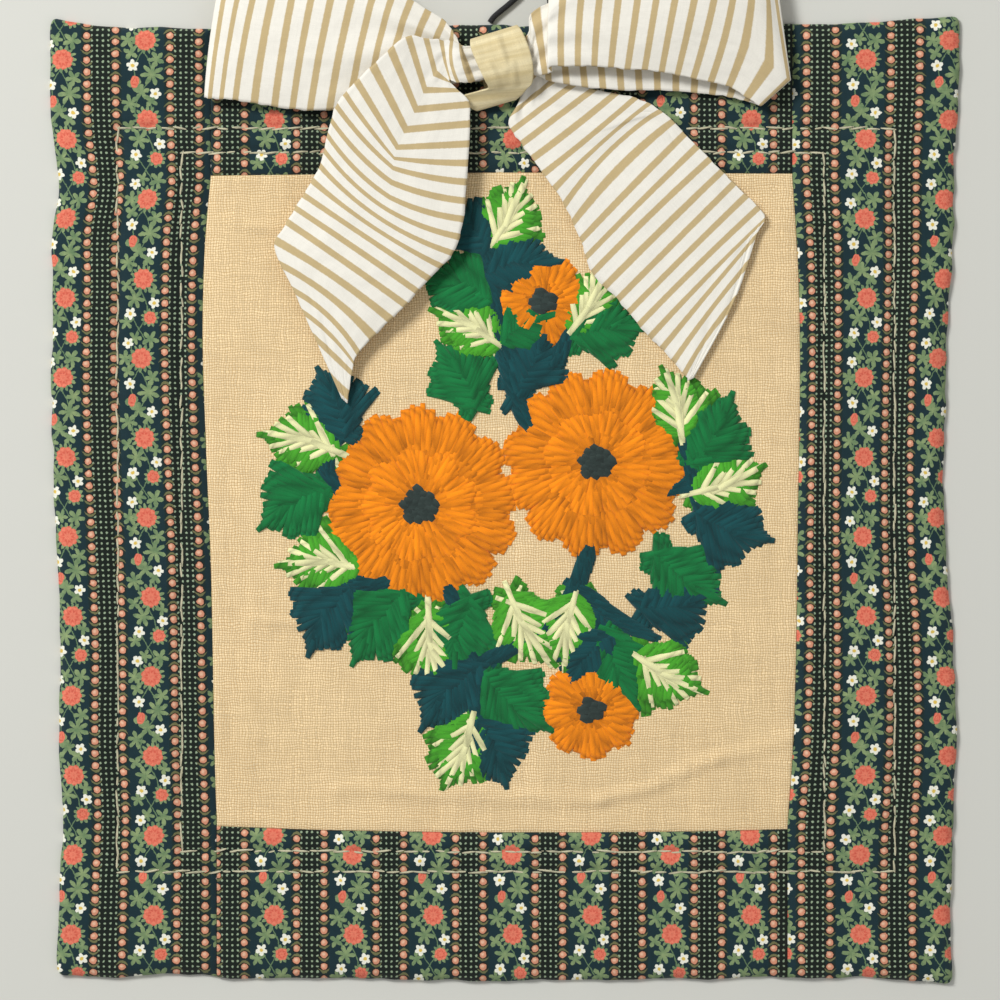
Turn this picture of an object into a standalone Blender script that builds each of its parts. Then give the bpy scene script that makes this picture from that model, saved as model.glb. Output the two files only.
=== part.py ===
"""Crewel embroidery panel with a quilted patchwork border and a tied ribbon bow.

Run it with: blender --background --python part.py

Metres, +Z up. The panel lies on its back: the origin is the middle of its flat back, +Y runs to
its top edge and +Z out of its face. The tables and sizes are in millimetres, which to_metres
turns into metres as each mesh is made.
"""

import math
from collections import namedtuple

import bpy
import numpy as np

# ---- Driving sizes, millimetres -----------------------------------------------------------------

# Mean lines of the panel's finished edges, and of the seams round the linen.
LEFT, RIGHT, BOTTOM, TOP = -178.0, 177.0, -190.5, 187.5
SEAM_LEFT, SEAM_RIGHT, SEAM_BOTTOM, SEAM_TOP = -117.0, 114.5, -131.8, 128.5

# Two rectangles of running stitch, sewn through the wadded border.
OUTER_QUILTING = (-153.6, 154.4, -148.1, 146.5)
INNER_QUILTING = (-128.2, 126.6, -140.1, 137.0)

GAP = 0.3
CORNER_RADIUS = 3.2
EDGE_REACH = 22.0
SEAM_REACH = 11.0

BORDER_CROWN = 4.2
BORDER_EDGE = 1.3
BORDER_EDGE_ROUNDING = 1.9
BORDER_SEAM = 2.3
BORDER_SEAM_ROUNDING = 3.0
CHANNEL_DEPTH = 1.3
CHANNEL_WIDTH = 2.2

LINEN_THICKNESS = 2.3
ALLOWANCE_WIDTH = 9.0
ALLOWANCE_RISE = 0.3

RIBBON_THICKNESS = 1.2
RIBBON_COLUMNS = 12
PLEATS = 3
SHARPEST_FOLD = 0.65

KNOT_THICKNESS = 1.4
KNOT_COLUMNS = 6

CORD_DIAMETER = 2.3
CORD_POINTS = 20

# ---- How far the real edges and seams wander from their mean lines ---------------------------------

# Columns: y, offset in x.
LEFT_DRIFT = (
    (-183, 0.1), (-153, 1.3), (-121, 2.5), (-102, 1.3), (-58, 1.7), (-26, 0.5),
    (33, -1.8), (83, -1.4), (110, -1.0), (119, 0.9), (147, -1.8), (188, -2.6),
)
RIGHT_DRIFT = (
    (-189, 0.1), (-165, -0.3), (-140, 0.1), (-96, 2.0), (-48, 0.1), (-26, -1.9),
    (50, -2.3), (102, 0.5), (135, 1.3), (160, 2.8), (190, 3.2),
)
SEAM_LEFT_DRIFT = (
    (-130, 2.7), (-104, 1.9), (-60, 1.1), (-25, 0.3), (23, -1.7), (67, -2.9), (98, -2.1), (128, 0.3),
)
SEAM_RIGHT_DRIFT = ((-131, -2.5), (-96, -0.2), (-56, 1.0), (-25, 1.4), (98, 1.4), (128, -0.6))

# Columns: x, offset in y.
TOP_DRIFT = (
    (-177, 2.7), (-159, -0.5), (-132, -0.9), (-60, 0.0), (60, 0.0), (108, 0.3), (131, 0.7),
    (156, 1.9), (177, 3.5),
)
BOTTOM_DRIFT = (
    (-177, 0.7), (-159, 0.3), (-129, 1.5), (-112, 0.3), (-74, -0.1), (-2, -0.9), (86, -0.1),
    (150, -0.1), (175, -2.0),
)
SEAM_TOP_DRIFT = ((-117, -0.7), (-2, 0.5), (114, 0.1))
SEAM_BOTTOM_DRIFT = ((-114, 1.6), (-81, 0.4), (-2, -0.8), (38, -0.8), (77, -0.4), (112, 0.4))

# Soft ridges left in the linen by folding and by the pull of the stitches.
Crease = namedtuple("Crease", "x0 y0 x1 y1 height width")
CREASES = (
    Crease(-66, -116, 38, -120, 0.9, 8),
    Crease(38, -120, 85, -104, 0.9, 8),
    Crease(85, -104, 113, -96, 0.6, 7),
    Crease(-101, -48, -69, -52, 0.7, 6),
    Crease(-110, 109, -60, 107, 0.6, 5),
    Crease(80, 96, 113, 70, 0.5, 7),
    Crease(66, 30, 110, 12, 0.5, 8),
)

# ---- The bow's ribbon -------------------------------------------------------------------------------

# One section across the ribbon, from one raw edge (a) over its middle or crease (m) to the other (b).
# crisp is 0 for a round section and 1 for a sharp crease. pleat is the height of the gathers.
Rib = namedtuple("Rib", "ax ay az mx my mz bx by bz crisp pleat")

RIGHT_TAIL = (
    Rib(72.5, 46.5, 4.4, 73.5, 47.0, 4.4, 74.5, 47.5, 4.4, 0, 0),
    Rib(71.0, 49.0, 4.4, 87.5, 74.0, 4.8, 90.5, 77.5, 4.8, 0, 0),
    Rib(62.0, 59.0, 4.2, 94.0, 97.5, 5.0, 99.5, 104.0, 5.0, 0, 0),
    Rib(55.5, 65.5, 4.2, 95.5, 105.5, 5.2, 102.5, 112.0, 5.0, 0, 0),
    Rib(44.5, 78.5, 4.2, 85.0, 119.0, 5.8, 90.5, 124.5, 5.8, 0, 0),
    Rib(34.5, 89.0, 4.4, 75.5, 129.0, 6.6, 81.0, 134.0, 6.6, 0, 0),
    Rib(30.0, 102.0, 5.0, 66.5, 139.5, 6.8, 71.0, 144.0, 6.8, 0, 0),
    Rib(23.5, 116.0, 6.4, 57.0, 150.5, 7.2, 61.5, 153.0, 7.6, 0.3, 0),
    Rib(15.0, 128.0, 6.4, 35.0, 144.0, 7.4, 51.5, 158.0, 8.0, 0, 0),
    Rib(6.5, 140.0, 6.0, 21.0, 151.0, 7.2, 35.0, 161.5, 8.0, 0, 0.3),
    Rib(1.5, 148.0, 5.8, 12.0, 156.0, 6.8, 24.0, 165.0, 8.0, 0, 0.5),
    Rib(5.0, 155.5, 6.4, 13.8, 162.8, 7.2, 22.5, 170.0, 8.0, 0, 0.4),
    Rib(6.9, 161.0, 7.2, 12.4, 168.3, 7.6, 18.0, 175.5, 8.2, 0, 0.3),
)
LEFT_LOOP_BACK = (
    Rib(7.7, 164.6, 7.7, 10.6, 171.8, 7.9, 13.5, 179.0, 8.3, 0, 0.4),
    Rib(6.6, 167.4, 8.0, 5.8, 173.7, 8.0, 5.0, 180.0, 8.0, 0, 0.6),
    Rib(-10.0, 164.8, 8.0, -12.0, 171.5, 8.0, -15.0, 177.8, 8.0, 0, 0.8),
    Rib(-20.0, 164.0, 7.8, -22.0, 174.0, 7.8, -23.5, 184.0, 7.8, 0, 0.8),
    Rib(-41.5, 159.5, 7.0, -43.5, 182.0, 7.2, -44.0, 201.5, 7.2, 0, 0.4),
    Rib(-69.5, 159.0, 6.4, -68.5, 185.0, 6.8, -66.5, 211.0, 6.6, 0, 0),
    Rib(-96.5, 159.5, 6.2, -94.0, 186.5, 6.6, -90.0, 214.5, 6.4, 0, 0),
    Rib(-114.5, 159.0, 6.4, -111.5, 187.0, 6.8, -106.0, 216.0, 6.8, 0, 0),
    Rib(-118.5, 158.5, 8.3, -115.5, 187.0, 8.9, -109.5, 217.0, 8.7, 0, 0),
)
LEFT_LOOP_FRONT = (
    Rib(-116.5, 157.5, 10.0, -112.5, 187.0, 11.2, -107.0, 217.0, 10.6, 0, 0),
    Rib(-106.5, 157.0, 9.8, -102.5, 182.0, 12.4, -94.0, 217.0, 11.0, 0, 0),
    Rib(-91.0, 154.5, 9.0, -87.0, 180.0, 13.0, -80.0, 215.5, 11.8, 0, 0),
    Rib(-77.0, 153.0, 8.6, -72.5, 178.0, 13.4, -64.5, 213.0, 12.2, 0, 0.2),
    Rib(-61.5, 154.0, 8.8, -56.5, 179.5, 14.0, -49.5, 206.5, 12.6, 0, 0.5),
    Rib(-46.5, 157.5, 9.6, -42.5, 180.0, 13.8, -37.0, 196.5, 12.6, 0, 0.9),
    Rib(-30.5, 162.0, 10.2, -28.5, 176.5, 12.0, -24.0, 188.0, 12.0, 0, 0.9),
    Rib(-19.5, 164.8, 11.0, -19.5, 173.0, 11.2, -19.5, 182.0, 11.4, 0, 0.8),
    Rib(-10.0, 164.8, 11.0, -12.0, 171.5, 11.0, -15.0, 177.8, 11.0, 0, 0.8),
)
RIGHT_LOOP_BACK = (
    Rib(9.5, 167.2, 11.0, 8.5, 173.5, 11.0, 7.5, 180.5, 11.0, 0, 0.8),
    Rib(20.0, 164.0, 11.4, 19.0, 174.0, 11.4, 18.0, 186.0, 11.4, 0, 0.8),
    Rib(41.5, 161.0, 10.8, 40.0, 182.0, 10.6, 39.5, 205.5, 10.4, 0, 0.4),
    Rib(64.5, 161.0, 8.8, 64.5, 185.0, 9.0, 65.5, 212.0, 9.0, 0, 0),
    Rib(86.0, 159.0, 7.2, 89.5, 180.0, 7.8, 87.5, 214.5, 7.8, 0, 0),
    Rib(97.5, 156.0, 7.0, 108.5, 166.5, 7.6, 102.5, 215.0, 7.8, 1, 0),
    Rib(101.0, 155.0, 8.8, 112.5, 165.0, 9.6, 105.5, 215.5, 9.8, 1, 0),
)
RIGHT_LOOP_FRONT = (
    Rib(99.0, 155.5, 10.6, 109.5, 166.5, 11.8, 103.0, 215.5, 12.0, 1, 0),
    Rib(88.0, 162.0, 12.0, 94.0, 178.0, 15.2, 98.0, 215.5, 14.0, 0.4, 0),
    Rib(74.0, 165.0, 13.4, 79.0, 182.5, 17.2, 85.5, 215.5, 15.4, 0, 0),
    Rib(61.5, 167.5, 15.0, 64.5, 184.0, 18.6, 70.5, 215.5, 16.4, 0, 0),
    Rib(48.0, 168.5, 16.6, 50.5, 185.0, 19.2, 54.5, 215.0, 17.2, 0, 0),
    Rib(35.0, 169.5, 17.6, 36.0, 186.0, 19.6, 39.5, 213.0, 17.6, 0, 0.3),
    Rib(22.0, 169.5, 18.2, 22.0, 185.0, 19.4, 23.5, 203.5, 17.8, 0, 0.5),
    Rib(17.0, 169.0, 18.0, 17.0, 183.5, 19.0, 17.5, 196.0, 17.6, 0, 0.6),
    Rib(18.5, 167.5, 15.6, 17.5, 182.5, 16.6, 18.0, 195.5, 15.6, 0, 0.6),
    Rib(14.5, 166.5, 15.0, 12.5, 178.5, 15.6, 10.0, 190.0, 15.0, 0, 0.8),
)
LEFT_TAIL = (
    Rib(9.5, 167.2, 14.0, 8.5, 173.5, 14.0, 7.5, 181.0, 14.0, 0, 0.8),
    Rib(-9.5, 165.0, 14.0, -12.0, 171.5, 14.0, -15.0, 177.8, 14.0, 0, 0.8),
    Rib(-14.0, 163.5, 14.8, -16.5, 170.5, 17.4, -18.0, 178.5, 15.4, 0, 0.4),
    Rib(-18.5, 163.5, 15.4, -21.0, 170.5, 17.2, -21.0, 179.5, 16.0, 0, 0),
    Rib(-21.5, 164.5, 14.2, -23.5, 172.0, 15.2, -25.0, 180.0, 16.4, 0.5, 0),
    Rib(-21.5, 163.5, 13.8, -27.5, 167.0, 14.9, -31.0, 180.5, 17.2, 1, 0),
    Rib(-18.5, 160.5, 13.6, -31.5, 160.5, 14.4, -38.0, 181.5, 17.8, 1, 0),
    Rib(-14.0, 155.0, 13.2, -35.0, 153.0, 13.8, -45.0, 176.5, 18.0, 1, 0),
    Rib(-14.0, 139.5, 12.2, -42.5, 138.0, 12.6, -58.5, 164.0, 16.0, 1, 0),
    Rib(-15.0, 124.5, 11.2, -44.0, 130.0, 12.2, -66.5, 154.5, 14.0, 0.6, 0),
    Rib(-16.5, 110.0, 10.4, -45.5, 118.5, 12.0, -70.0, 143.0, 12.4, 0.2, 0),
    Rib(-20.5, 96.5, 10.0, -47.5, 109.0, 12.0, -73.0, 131.0, 11.4, 0, 0),
    Rib(-30.0, 86.5, 9.6, -53.5, 102.0, 11.6, -79.5, 119.5, 10.4, 0, 0),
    Rib(-39.0, 76.0, 9.2, -61.5, 92.0, 11.0, -86.0, 109.0, 9.4, 0, 0),
    Rib(-47.0, 68.5, 8.6, -69.5, 86.0, 10.2, -91.0, 99.0, 8.8, 0, 0),
    Rib(-58.0, 57.0, 8.0, -70.5, 72.5, 9.0, -83.5, 82.0, 8.2, 0, 0),
    Rib(-60.5, 49.5, 7.2, -67.8, 56.5, 7.8, -75.2, 63.5, 7.6, 0, 0),
    Rib(-62.5, 37.5, 6.2, -63.5, 38.5, 6.2, -64.5, 39.5, 6.2, 0, 0),
)
RIBBON = (
    RIGHT_TAIL + LEFT_LOOP_BACK + LEFT_LOOP_FRONT + RIGHT_LOOP_BACK + RIGHT_LOOP_FRONT + LEFT_TAIL
)

# One section across the wrap that holds the bow, from its left edge (l) to its right edge (r). The
# rows go over the bow from the top, round its lower side, where the wrap's end stands out to the
# left, and back underneath.
Turn = namedtuple("Turn", "lx ly lz rx ry rz")
KNOT = (
    Turn(-13.5, 180.6, 11.0, 4.8, 186.2, 11.0),
    Turn(-13.5, 177.0, 16.4, 7.1, 182.4, 16.6),
    Turn(-11.1, 170.7, 17.7, 9.9, 175.1, 17.9),
    Turn(-8.3, 164.8, 16.9, 11.1, 168.6, 17.2),
    Turn(-6.7, 161.4, 13.9, 10.7, 163.6, 14.0),
    Turn(-10.5, 160.2, 12.5, 8.6, 161.4, 12.4),
    Turn(-17.5, 158.0, 11.0, 7.0, 159.6, 10.8),
    Turn(-14.5, 154.6, 9.4, 5.2, 158.2, 9.2),
    Turn(-11.0, 153.2, 7.6, 4.0, 157.6, 7.6),
    Turn(-9.5, 155.5, 6.0, 4.0, 159.0, 6.2),
    Turn(-8.2, 160.5, 5.4, 6.2, 163.0, 5.5),
    Turn(-9.6, 169.0, 5.4, 8.2, 173.0, 5.5),
    Turn(-12.5, 178.4, 5.9, 5.6, 184.0, 6.0),
)

# The cord's way from one side of the top edge to the other, flat on the surface behind the bow.
# Columns: x, y.
CORD_HEIGHT = 1.3
CORD_ROUTE = (
    (-6.0, 188.6), (-4.6, 190.6), (-2.4, 192.6), (0.8, 195.2), (4.0, 198.0), (7.6, 201.6), (11.0, 204.9),
    (14.4, 206.2), (16.9, 204.4), (17.7, 200.4), (17.9, 196.0), (18.8, 192.2), (19.9, 189.8), (20.0, 188.3),
)

# Plain base colours (red, green, blue), roughness.
MATERIALS = {
    "linen": ((0.76, 0.57, 0.29), 0.9),
    "calico": ((0.02, 0.06, 0.05), 0.85),
    "ticking": ((0.85, 0.80, 0.68), 0.85),
    "homespun": ((0.67, 0.56, 0.31), 0.9),
    "cord": ((0.01, 0.01, 0.01), 0.7),
}


# ---- Helpers ----------------------------------------------------------------------------------------


def clear_scene():
    for obj in list(bpy.data.objects):
        bpy.data.objects.remove(obj)


def to_metres(points):
    return np.asarray(points, dtype=float) * 0.001


def material(name):
    """The named plain material, made the first time that it is asked for."""
    made = bpy.data.materials.get(name)
    if made:
        return made
    colour, roughness = MATERIALS[name]
    made = bpy.data.materials.new(name)
    made.use_nodes = True
    shader = made.node_tree.nodes["Principled BSDF"]
    shader.inputs["Base Color"].default_value = (*colour, 1.0)
    shader.inputs["Roughness"].default_value = roughness
    shader.inputs["Metallic"].default_value = 0.0
    return made


def add_mesh(name, points, faces, material_name):
    mesh = bpy.data.meshes.new(name)
    mesh.from_pydata(to_metres(points).tolist(), [], faces)
    mesh.materials.append(material(material_name))
    mesh.shade_smooth()
    mesh.set_sharp_from_angle(angle=math.radians(50))
    obj = bpy.data.objects.new(name, mesh)
    bpy.context.collection.objects.link(obj)
    return obj


def value_along(rows, at):
    """The smooth value of a two-column table, at each place along its first column."""
    place, value = np.array(rows, dtype=float).T
    slope = np.gradient(value, place)
    start = np.clip(np.searchsorted(place, at) - 1, 0, len(place) - 2)
    span = place[start + 1] - place[start]
    t = np.clip((at - place[start]) / span, 0.0, 1.0)
    return (
        value[start] * (1 + 2 * t) * (1 - t) ** 2
        + slope[start] * span * t * (1 - t) ** 2
        + value[start + 1] * t**2 * (3 - 2 * t)
        + slope[start + 1] * span * t**2 * (t - 1)
    )


def curve_through(points, count, closed=False):
    """count points on a Catmull-Rom curve through the rows of points, evenly by row number."""
    points = np.asarray(points, dtype=float)
    last = len(points) if closed else len(points) - 1
    place = np.linspace(0, last, count, endpoint=not closed)
    row = np.minimum(place.astype(int), last - 1)
    t = (place - row).reshape(-1, *[1] * (points.ndim - 1))

    def at(index):
        return points[index % len(points)] if closed else points[np.clip(index, 0, last)]

    before, start, end, after = at(row - 1), at(row), at(row + 1), at(row + 2)
    return 0.5 * (
        2 * start
        + (end - before) * t
        + (2 * before - 5 * start + 4 * end - after) * t**2
        + (3 * start - before - 3 * end + after) * t**3
    )


def fade(distance, reach):
    """1 at no distance, falling smoothly to 0 at reach and beyond."""
    t = np.clip(1 - np.abs(distance) / reach, 0.0, 1.0)
    return t * t * (3 - 2 * t)


def stations(start, end, marks, step):
    """Places from start to end: close together at both ends and at the marks, and step elsewhere."""
    near_ends = (0.0, 0.9, 2.4, 5.5)
    near_marks = (-2.6, 0.0, 2.6)
    places = {start + offset for offset in near_ends} | {end - offset for offset in near_ends}
    for mark in marks:
        if start + 8 < mark < end - 8:
            places |= {mark + offset for offset in near_marks}
    kept = sorted(places)
    filled = [kept[0]]
    for place in kept[1:]:
        pieces = max(1, math.ceil((place - filled[-1]) / step))
        filled += list(np.linspace(filled[-1], place, pieces + 1)[1:])
    return np.array(filled)


# ---- The flat pieces ---------------------------------------------------------------------------------


def round_corners(x, y):
    """Takes the panel's four square corners in to a small radius."""
    middle_x, middle_y = (LEFT + RIGHT) / 2, (BOTTOM + TOP) / 2
    reach_x, reach_y = (RIGHT - LEFT) / 2, (TOP - BOTTOM) / 2
    from_x, from_y = x - middle_x, y - middle_y
    u = (np.abs(from_x) - reach_x) / CORNER_RADIUS + 1
    v = (np.abs(from_y) - reach_y) / CORNER_RADIUS + 1
    near = (u > 0) & (v > 0)
    u, v = np.clip(u, 0, 1), np.clip(v, 0, 1)
    move_x = np.where(near, (u - u * np.sqrt(1 - v * v / 2)) * CORNER_RADIUS, 0)
    move_y = np.where(near, (v - v * np.sqrt(1 - u * u / 2)) * CORNER_RADIUS, 0)
    return x - np.sign(from_x) * move_x, y - np.sign(from_y) * move_y


def drifted(x, y):
    """Where a point of the evenly drawn panel really lies."""
    near_left, near_right = fade(x - LEFT, EDGE_REACH), fade(x - RIGHT, EDGE_REACH)
    near_bottom, near_top = fade(y - BOTTOM, EDGE_REACH), fade(y - TOP, EDGE_REACH)
    x_rounded, y_rounded = round_corners(x, y)
    return (
        x_rounded
        + near_left * value_along(LEFT_DRIFT, y)
        + near_right * value_along(RIGHT_DRIFT, y)
        + fade(x - SEAM_LEFT, SEAM_REACH) * value_along(SEAM_LEFT_DRIFT, y)
        + fade(x - SEAM_RIGHT, SEAM_REACH) * value_along(SEAM_RIGHT_DRIFT, y),
        y_rounded
        + near_bottom * value_along(BOTTOM_DRIFT, x)
        + near_top * value_along(TOP_DRIFT, x)
        + fade(y - SEAM_BOTTOM, SEAM_REACH) * value_along(SEAM_BOTTOM_DRIFT, x)
        + fade(y - SEAM_TOP, SEAM_REACH) * value_along(SEAM_TOP_DRIFT, x),
    )


def to_rectangle(x, y, rectangle):
    """Each point's distance from the outline of a rectangle (x0, x1, y0, y1)."""
    x0, x1, y0, y1 = rectangle
    out_x = np.maximum(np.maximum(x0 - x, x - x1), 0)
    out_y = np.maximum(np.maximum(y0 - y, y - y1), 0)
    outside = np.hypot(out_x, out_y)
    inside = np.minimum(np.minimum(x - x0, x1 - x), np.minimum(y - y0, y1 - y))
    return np.where(outside > 0, outside, np.maximum(inside, 0))


def border_height(x, y, seams):
    """Height of the wadded border over its back. seams are lines: (axis, place)."""
    to_edge = to_rectangle(x, y, (LEFT, RIGHT, BOTTOM, TOP))
    to_seam = np.min([np.abs((x, y)[axis] - place) for axis, place in seams], axis=0)
    to_quilting = np.minimum(to_rectangle(x, y, OUTER_QUILTING), to_rectangle(x, y, INNER_QUILTING))
    edge_drop = (BORDER_CROWN - BORDER_EDGE) * np.exp(-to_edge / BORDER_EDGE_ROUNDING)
    seam_drop = (BORDER_CROWN - BORDER_SEAM) * np.exp(-to_seam / BORDER_SEAM_ROUNDING)
    channel = CHANNEL_DEPTH * np.exp(-((to_quilting / CHANNEL_WIDTH) ** 2))
    return BORDER_CROWN - np.maximum(np.maximum(edge_drop, seam_drop), channel)


def linen_height(x, y):
    """Height of the linen's face over its back, with its soft creases."""
    to_seam = to_rectangle(x, y, (SEAM_LEFT, SEAM_RIGHT, SEAM_BOTTOM, SEAM_TOP))
    height = LINEN_THICKNESS + ALLOWANCE_RISE * fade(to_seam, ALLOWANCE_WIDTH)
    for crease in CREASES:
        run_x, run_y = crease.x1 - crease.x0, crease.y1 - crease.y0
        along = ((x - crease.x0) * run_x + (y - crease.y0) * run_y) / (run_x**2 + run_y**2)
        along = np.clip(along, 0, 1)
        away = np.hypot(x - crease.x0 - along * run_x, y - crease.y0 - along * run_y)
        height = np.maximum(height, LINEN_THICKNESS + crease.height * fade(away, 2 * crease.width))
    return height


def add_plate(name, xs, ys, height, material_name):
    """A closed plate with a flat back, over the grid of the places xs and ys."""
    x, y = np.meshgrid(xs, ys, indexing="ij")
    z = height(x, y)
    real_x, real_y = drifted(x, y)
    columns, rows = x.shape
    top = np.stack([real_x, real_y, z], axis=-1).reshape(-1, 3)

    def at(column, row):
        return column * rows + row

    faces = [
        (at(i, j), at(i + 1, j), at(i + 1, j + 1), at(i, j + 1))
        for i in range(columns - 1)
        for j in range(rows - 1)
    ]
    rim = [at(i, 0) for i in range(columns - 1)]
    rim += [at(columns - 1, j) for j in range(rows - 1)]
    rim += [at(i, rows - 1) for i in range(columns - 1, 0, -1)]
    rim += [at(0, j) for j in range(rows - 1, 0, -1)]
    back = top[rim] * (1, 1, 0)
    first = len(top)
    count = len(rim)
    for k in range(count):
        after = (k + 1) % count
        faces.append((rim[after], rim[k], first + k, first + after))
    faces.append(tuple(first + k for k in reversed(range(count))))
    return add_mesh(name, np.concatenate([top, back]), faces, material_name)


def add_border():
    """Two full-height side strips, with the top and bottom strips sewn in between them."""
    half = GAP / 2
    marks_x = (OUTER_QUILTING[0], INNER_QUILTING[0], INNER_QUILTING[1], OUTER_QUILTING[1])
    marks_y = (OUTER_QUILTING[2], INNER_QUILTING[2], INNER_QUILTING[3], OUTER_QUILTING[3])
    side_rows = stations(BOTTOM, TOP, marks_y, 22)
    for name, x0, x1, seam in (
        ("border_left", LEFT, SEAM_LEFT - half, SEAM_LEFT),
        ("border_right", SEAM_RIGHT + half, RIGHT, SEAM_RIGHT),
    ):
        add_plate(
            name,
            stations(x0, x1, marks_x, 13),
            side_rows,
            lambda x, y, line=seam: border_height(x, y, ((0, line),)),
            "calico",
        )
    for name, y0, y1, seam in (
        ("border_top", SEAM_TOP + half, TOP, SEAM_TOP),
        ("border_bottom", BOTTOM, SEAM_BOTTOM - half, SEAM_BOTTOM),
    ):
        add_plate(
            name,
            stations(SEAM_LEFT + half, SEAM_RIGHT - half, (), 14),
            stations(y0, y1, marks_y, 12),
            lambda x, y, line=seam: border_height(x, y, ((0, SEAM_LEFT), (0, SEAM_RIGHT), (1, line))),
            "calico",
        )


def add_linen():
    half = GAP / 2
    add_plate(
        "linen_panel",
        stations(SEAM_LEFT + half, SEAM_RIGHT - half, (), 16),
        stations(SEAM_BOTTOM + half, SEAM_TOP - half, (), 16),
        linen_height,
        "linen",
    )


# ---- The bow and its cord ----------------------------------------------------------------------------


def ribbon_grid(ribs, columns):
    """The ribbon's middle surface: a row of points for each rib, from edge a to edge b."""
    table = np.array(ribs, dtype=float)
    a, m, b = (table[:, None, k : k + 3] for k in (0, 3, 6))
    crisp = table[:, 9, None, None]
    pleat = table[:, 10, None]
    t = np.linspace(0, 1, columns + 1)
    first = np.linalg.norm(m - a, axis=2, keepdims=True)
    middle = first / (first + np.linalg.norm(b - m, axis=2, keepdims=True))
    half = t[None, :, None] * 2
    u = np.where(half < 1, half * middle, middle + (half - 1) * (1 - middle))
    rounded = a * (u - middle) * (u - 1) / middle
    rounded += m * u * (u - 1) / (middle * (middle - 1))
    rounded += b * u * (u - middle) / (1 - middle)
    straight = np.where(half < 1, a + (m - a) * half, m + (b - m) * (half - 1))
    grid = straight * crisp + rounded * (1 - crisp)
    grid[:, :, 2] += pleat * np.sin(2 * math.pi * PLEATS * t)[None, :]
    return grid


def normals_of(grid, closed=False):
    """The mean normal of the faces round each point of a grid, longer where they fold sharply."""
    if closed:
        grid = np.concatenate([grid[-1:], grid, grid[:1]])
    diagonal = grid[1:, 1:] - grid[:-1, :-1]
    other = grid[1:, :-1] - grid[:-1, 1:]
    faces = np.cross(diagonal, other)
    faces /= np.linalg.norm(faces, axis=2, keepdims=True)
    total = np.zeros(grid.shape)
    count = np.zeros(grid.shape[:2])
    for i, j in ((0, 0), (0, 1), (1, 0), (1, 1)):
        rows, columns = slice(i, i + len(faces)), slice(j, j + faces.shape[1])
        total[rows, columns] += faces
        count[rows, columns] += 1
    length = np.linalg.norm(total, axis=2)
    miter = 1 / np.clip(length / count, SHARPEST_FOLD, 1)
    normal = total / np.maximum(length, 1e-9)[:, :, None] * miter[:, :, None]
    return normal[1:-1] if closed else normal


def add_sheet(name, grid, thickness, material_name, closed=False):
    """A closed solid: the grid's surface with half the thickness on each side of it."""
    rows, columns = grid.shape[:2]
    shift = normals_of(grid, closed) * thickness / 2
    points = np.concatenate([(grid + shift).reshape(-1, 3), (grid - shift).reshape(-1, 3)])
    under = rows * columns

    def at(row, column, side=0):
        return side * under + (row % rows) * columns + column

    faces = []
    last = rows if closed else rows - 1
    for i in range(last):
        for j in range(columns - 1):
            face = (at(i, j), at(i, j + 1), at(i + 1, j + 1), at(i + 1, j))
            faces.append(face)
            faces.append(tuple(under + k for k in reversed(face)))
        faces.append((at(i, 0), at(i + 1, 0), at(i + 1, 0, 1), at(i, 0, 1)))
        end = columns - 1
        faces.append((at(i, end, 1), at(i + 1, end, 1), at(i + 1, end), at(i, end)))
    if not closed:
        for j in range(columns - 1):
            faces.append((at(0, j, 1), at(0, j + 1, 1), at(0, j + 1), at(0, j)))
            faces.append((at(last, j), at(last, j + 1), at(last, j + 1, 1), at(last, j, 1)))
    return add_mesh(name, points, faces, material_name)


def add_bow():
    """One ribbon folded back and forth into two loops and two tails, held by a wrapped strip."""
    add_sheet("bow_strip", ribbon_grid(RIBBON, RIBBON_COLUMNS), RIBBON_THICKNESS, "ticking")
    turns = np.array(KNOT, dtype=float).reshape(-1, 2, 3)
    turns = curve_through(turns, 2 * len(KNOT), closed=True)
    w = np.linspace(0, 1, KNOT_COLUMNS + 1)[None, :, None]
    wrap = turns[:, :1] * (1 - w) + turns[:, 1:] * w
    add_sheet("bow_knot", wrap, KNOT_THICKNESS, "homespun", closed=True)


def add_cord():
    """The hanging loop: both ends go into the panel's top edge."""
    route = [(x, y, CORD_HEIGHT) for x, y in CORD_ROUTE]
    points = to_metres(curve_through(route, CORD_POINTS))
    curve = bpy.data.curves.new("hanging_loop", "CURVE")
    curve.dimensions = "3D"
    curve.bevel_depth = CORD_DIAMETER * 0.001 / 2
    curve.bevel_resolution = 2
    curve.use_fill_caps = True
    spline = curve.splines.new("POLY")
    spline.points.add(len(points) - 1)
    for point, place in zip(spline.points, points):
        point.co = (*place, 1.0)
    curve.materials.append(material("cord"))
    bpy.context.collection.objects.link(bpy.data.objects.new("hanging_loop", curve))


def main():
    clear_scene()
    add_linen()
    add_border()
    add_bow()
    add_cord()


main()
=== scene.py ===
"""Looks of a crewel embroidery panel: linen, wool stitches, a quilted calico border and a ribbon bow.

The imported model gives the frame: metres, +Z out of the panel's face, +Y to its top edge. The tables
and sizes here are in millimetres, and mesh_from turns them into metres.
"""

import math
from collections import namedtuple

import bpy
import numpy as np
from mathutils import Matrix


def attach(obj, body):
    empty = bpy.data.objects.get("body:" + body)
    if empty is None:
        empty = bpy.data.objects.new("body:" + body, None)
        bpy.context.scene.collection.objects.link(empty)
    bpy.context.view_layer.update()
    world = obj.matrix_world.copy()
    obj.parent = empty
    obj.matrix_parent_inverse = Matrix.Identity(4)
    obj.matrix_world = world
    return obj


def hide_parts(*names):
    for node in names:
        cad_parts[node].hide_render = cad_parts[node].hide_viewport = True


bl_info = {
    "name": "Crewel Embroidery Panel",
    "version": (1, 0, 0),
    "blender": (4, 5, 0),
    "location": "3D View > Sidebar > Embroidery",
    "description": "Makes a quilted, framed linen panel with wool embroidery and a ribbon bow",
    "category": "Add Mesh",
}

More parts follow.
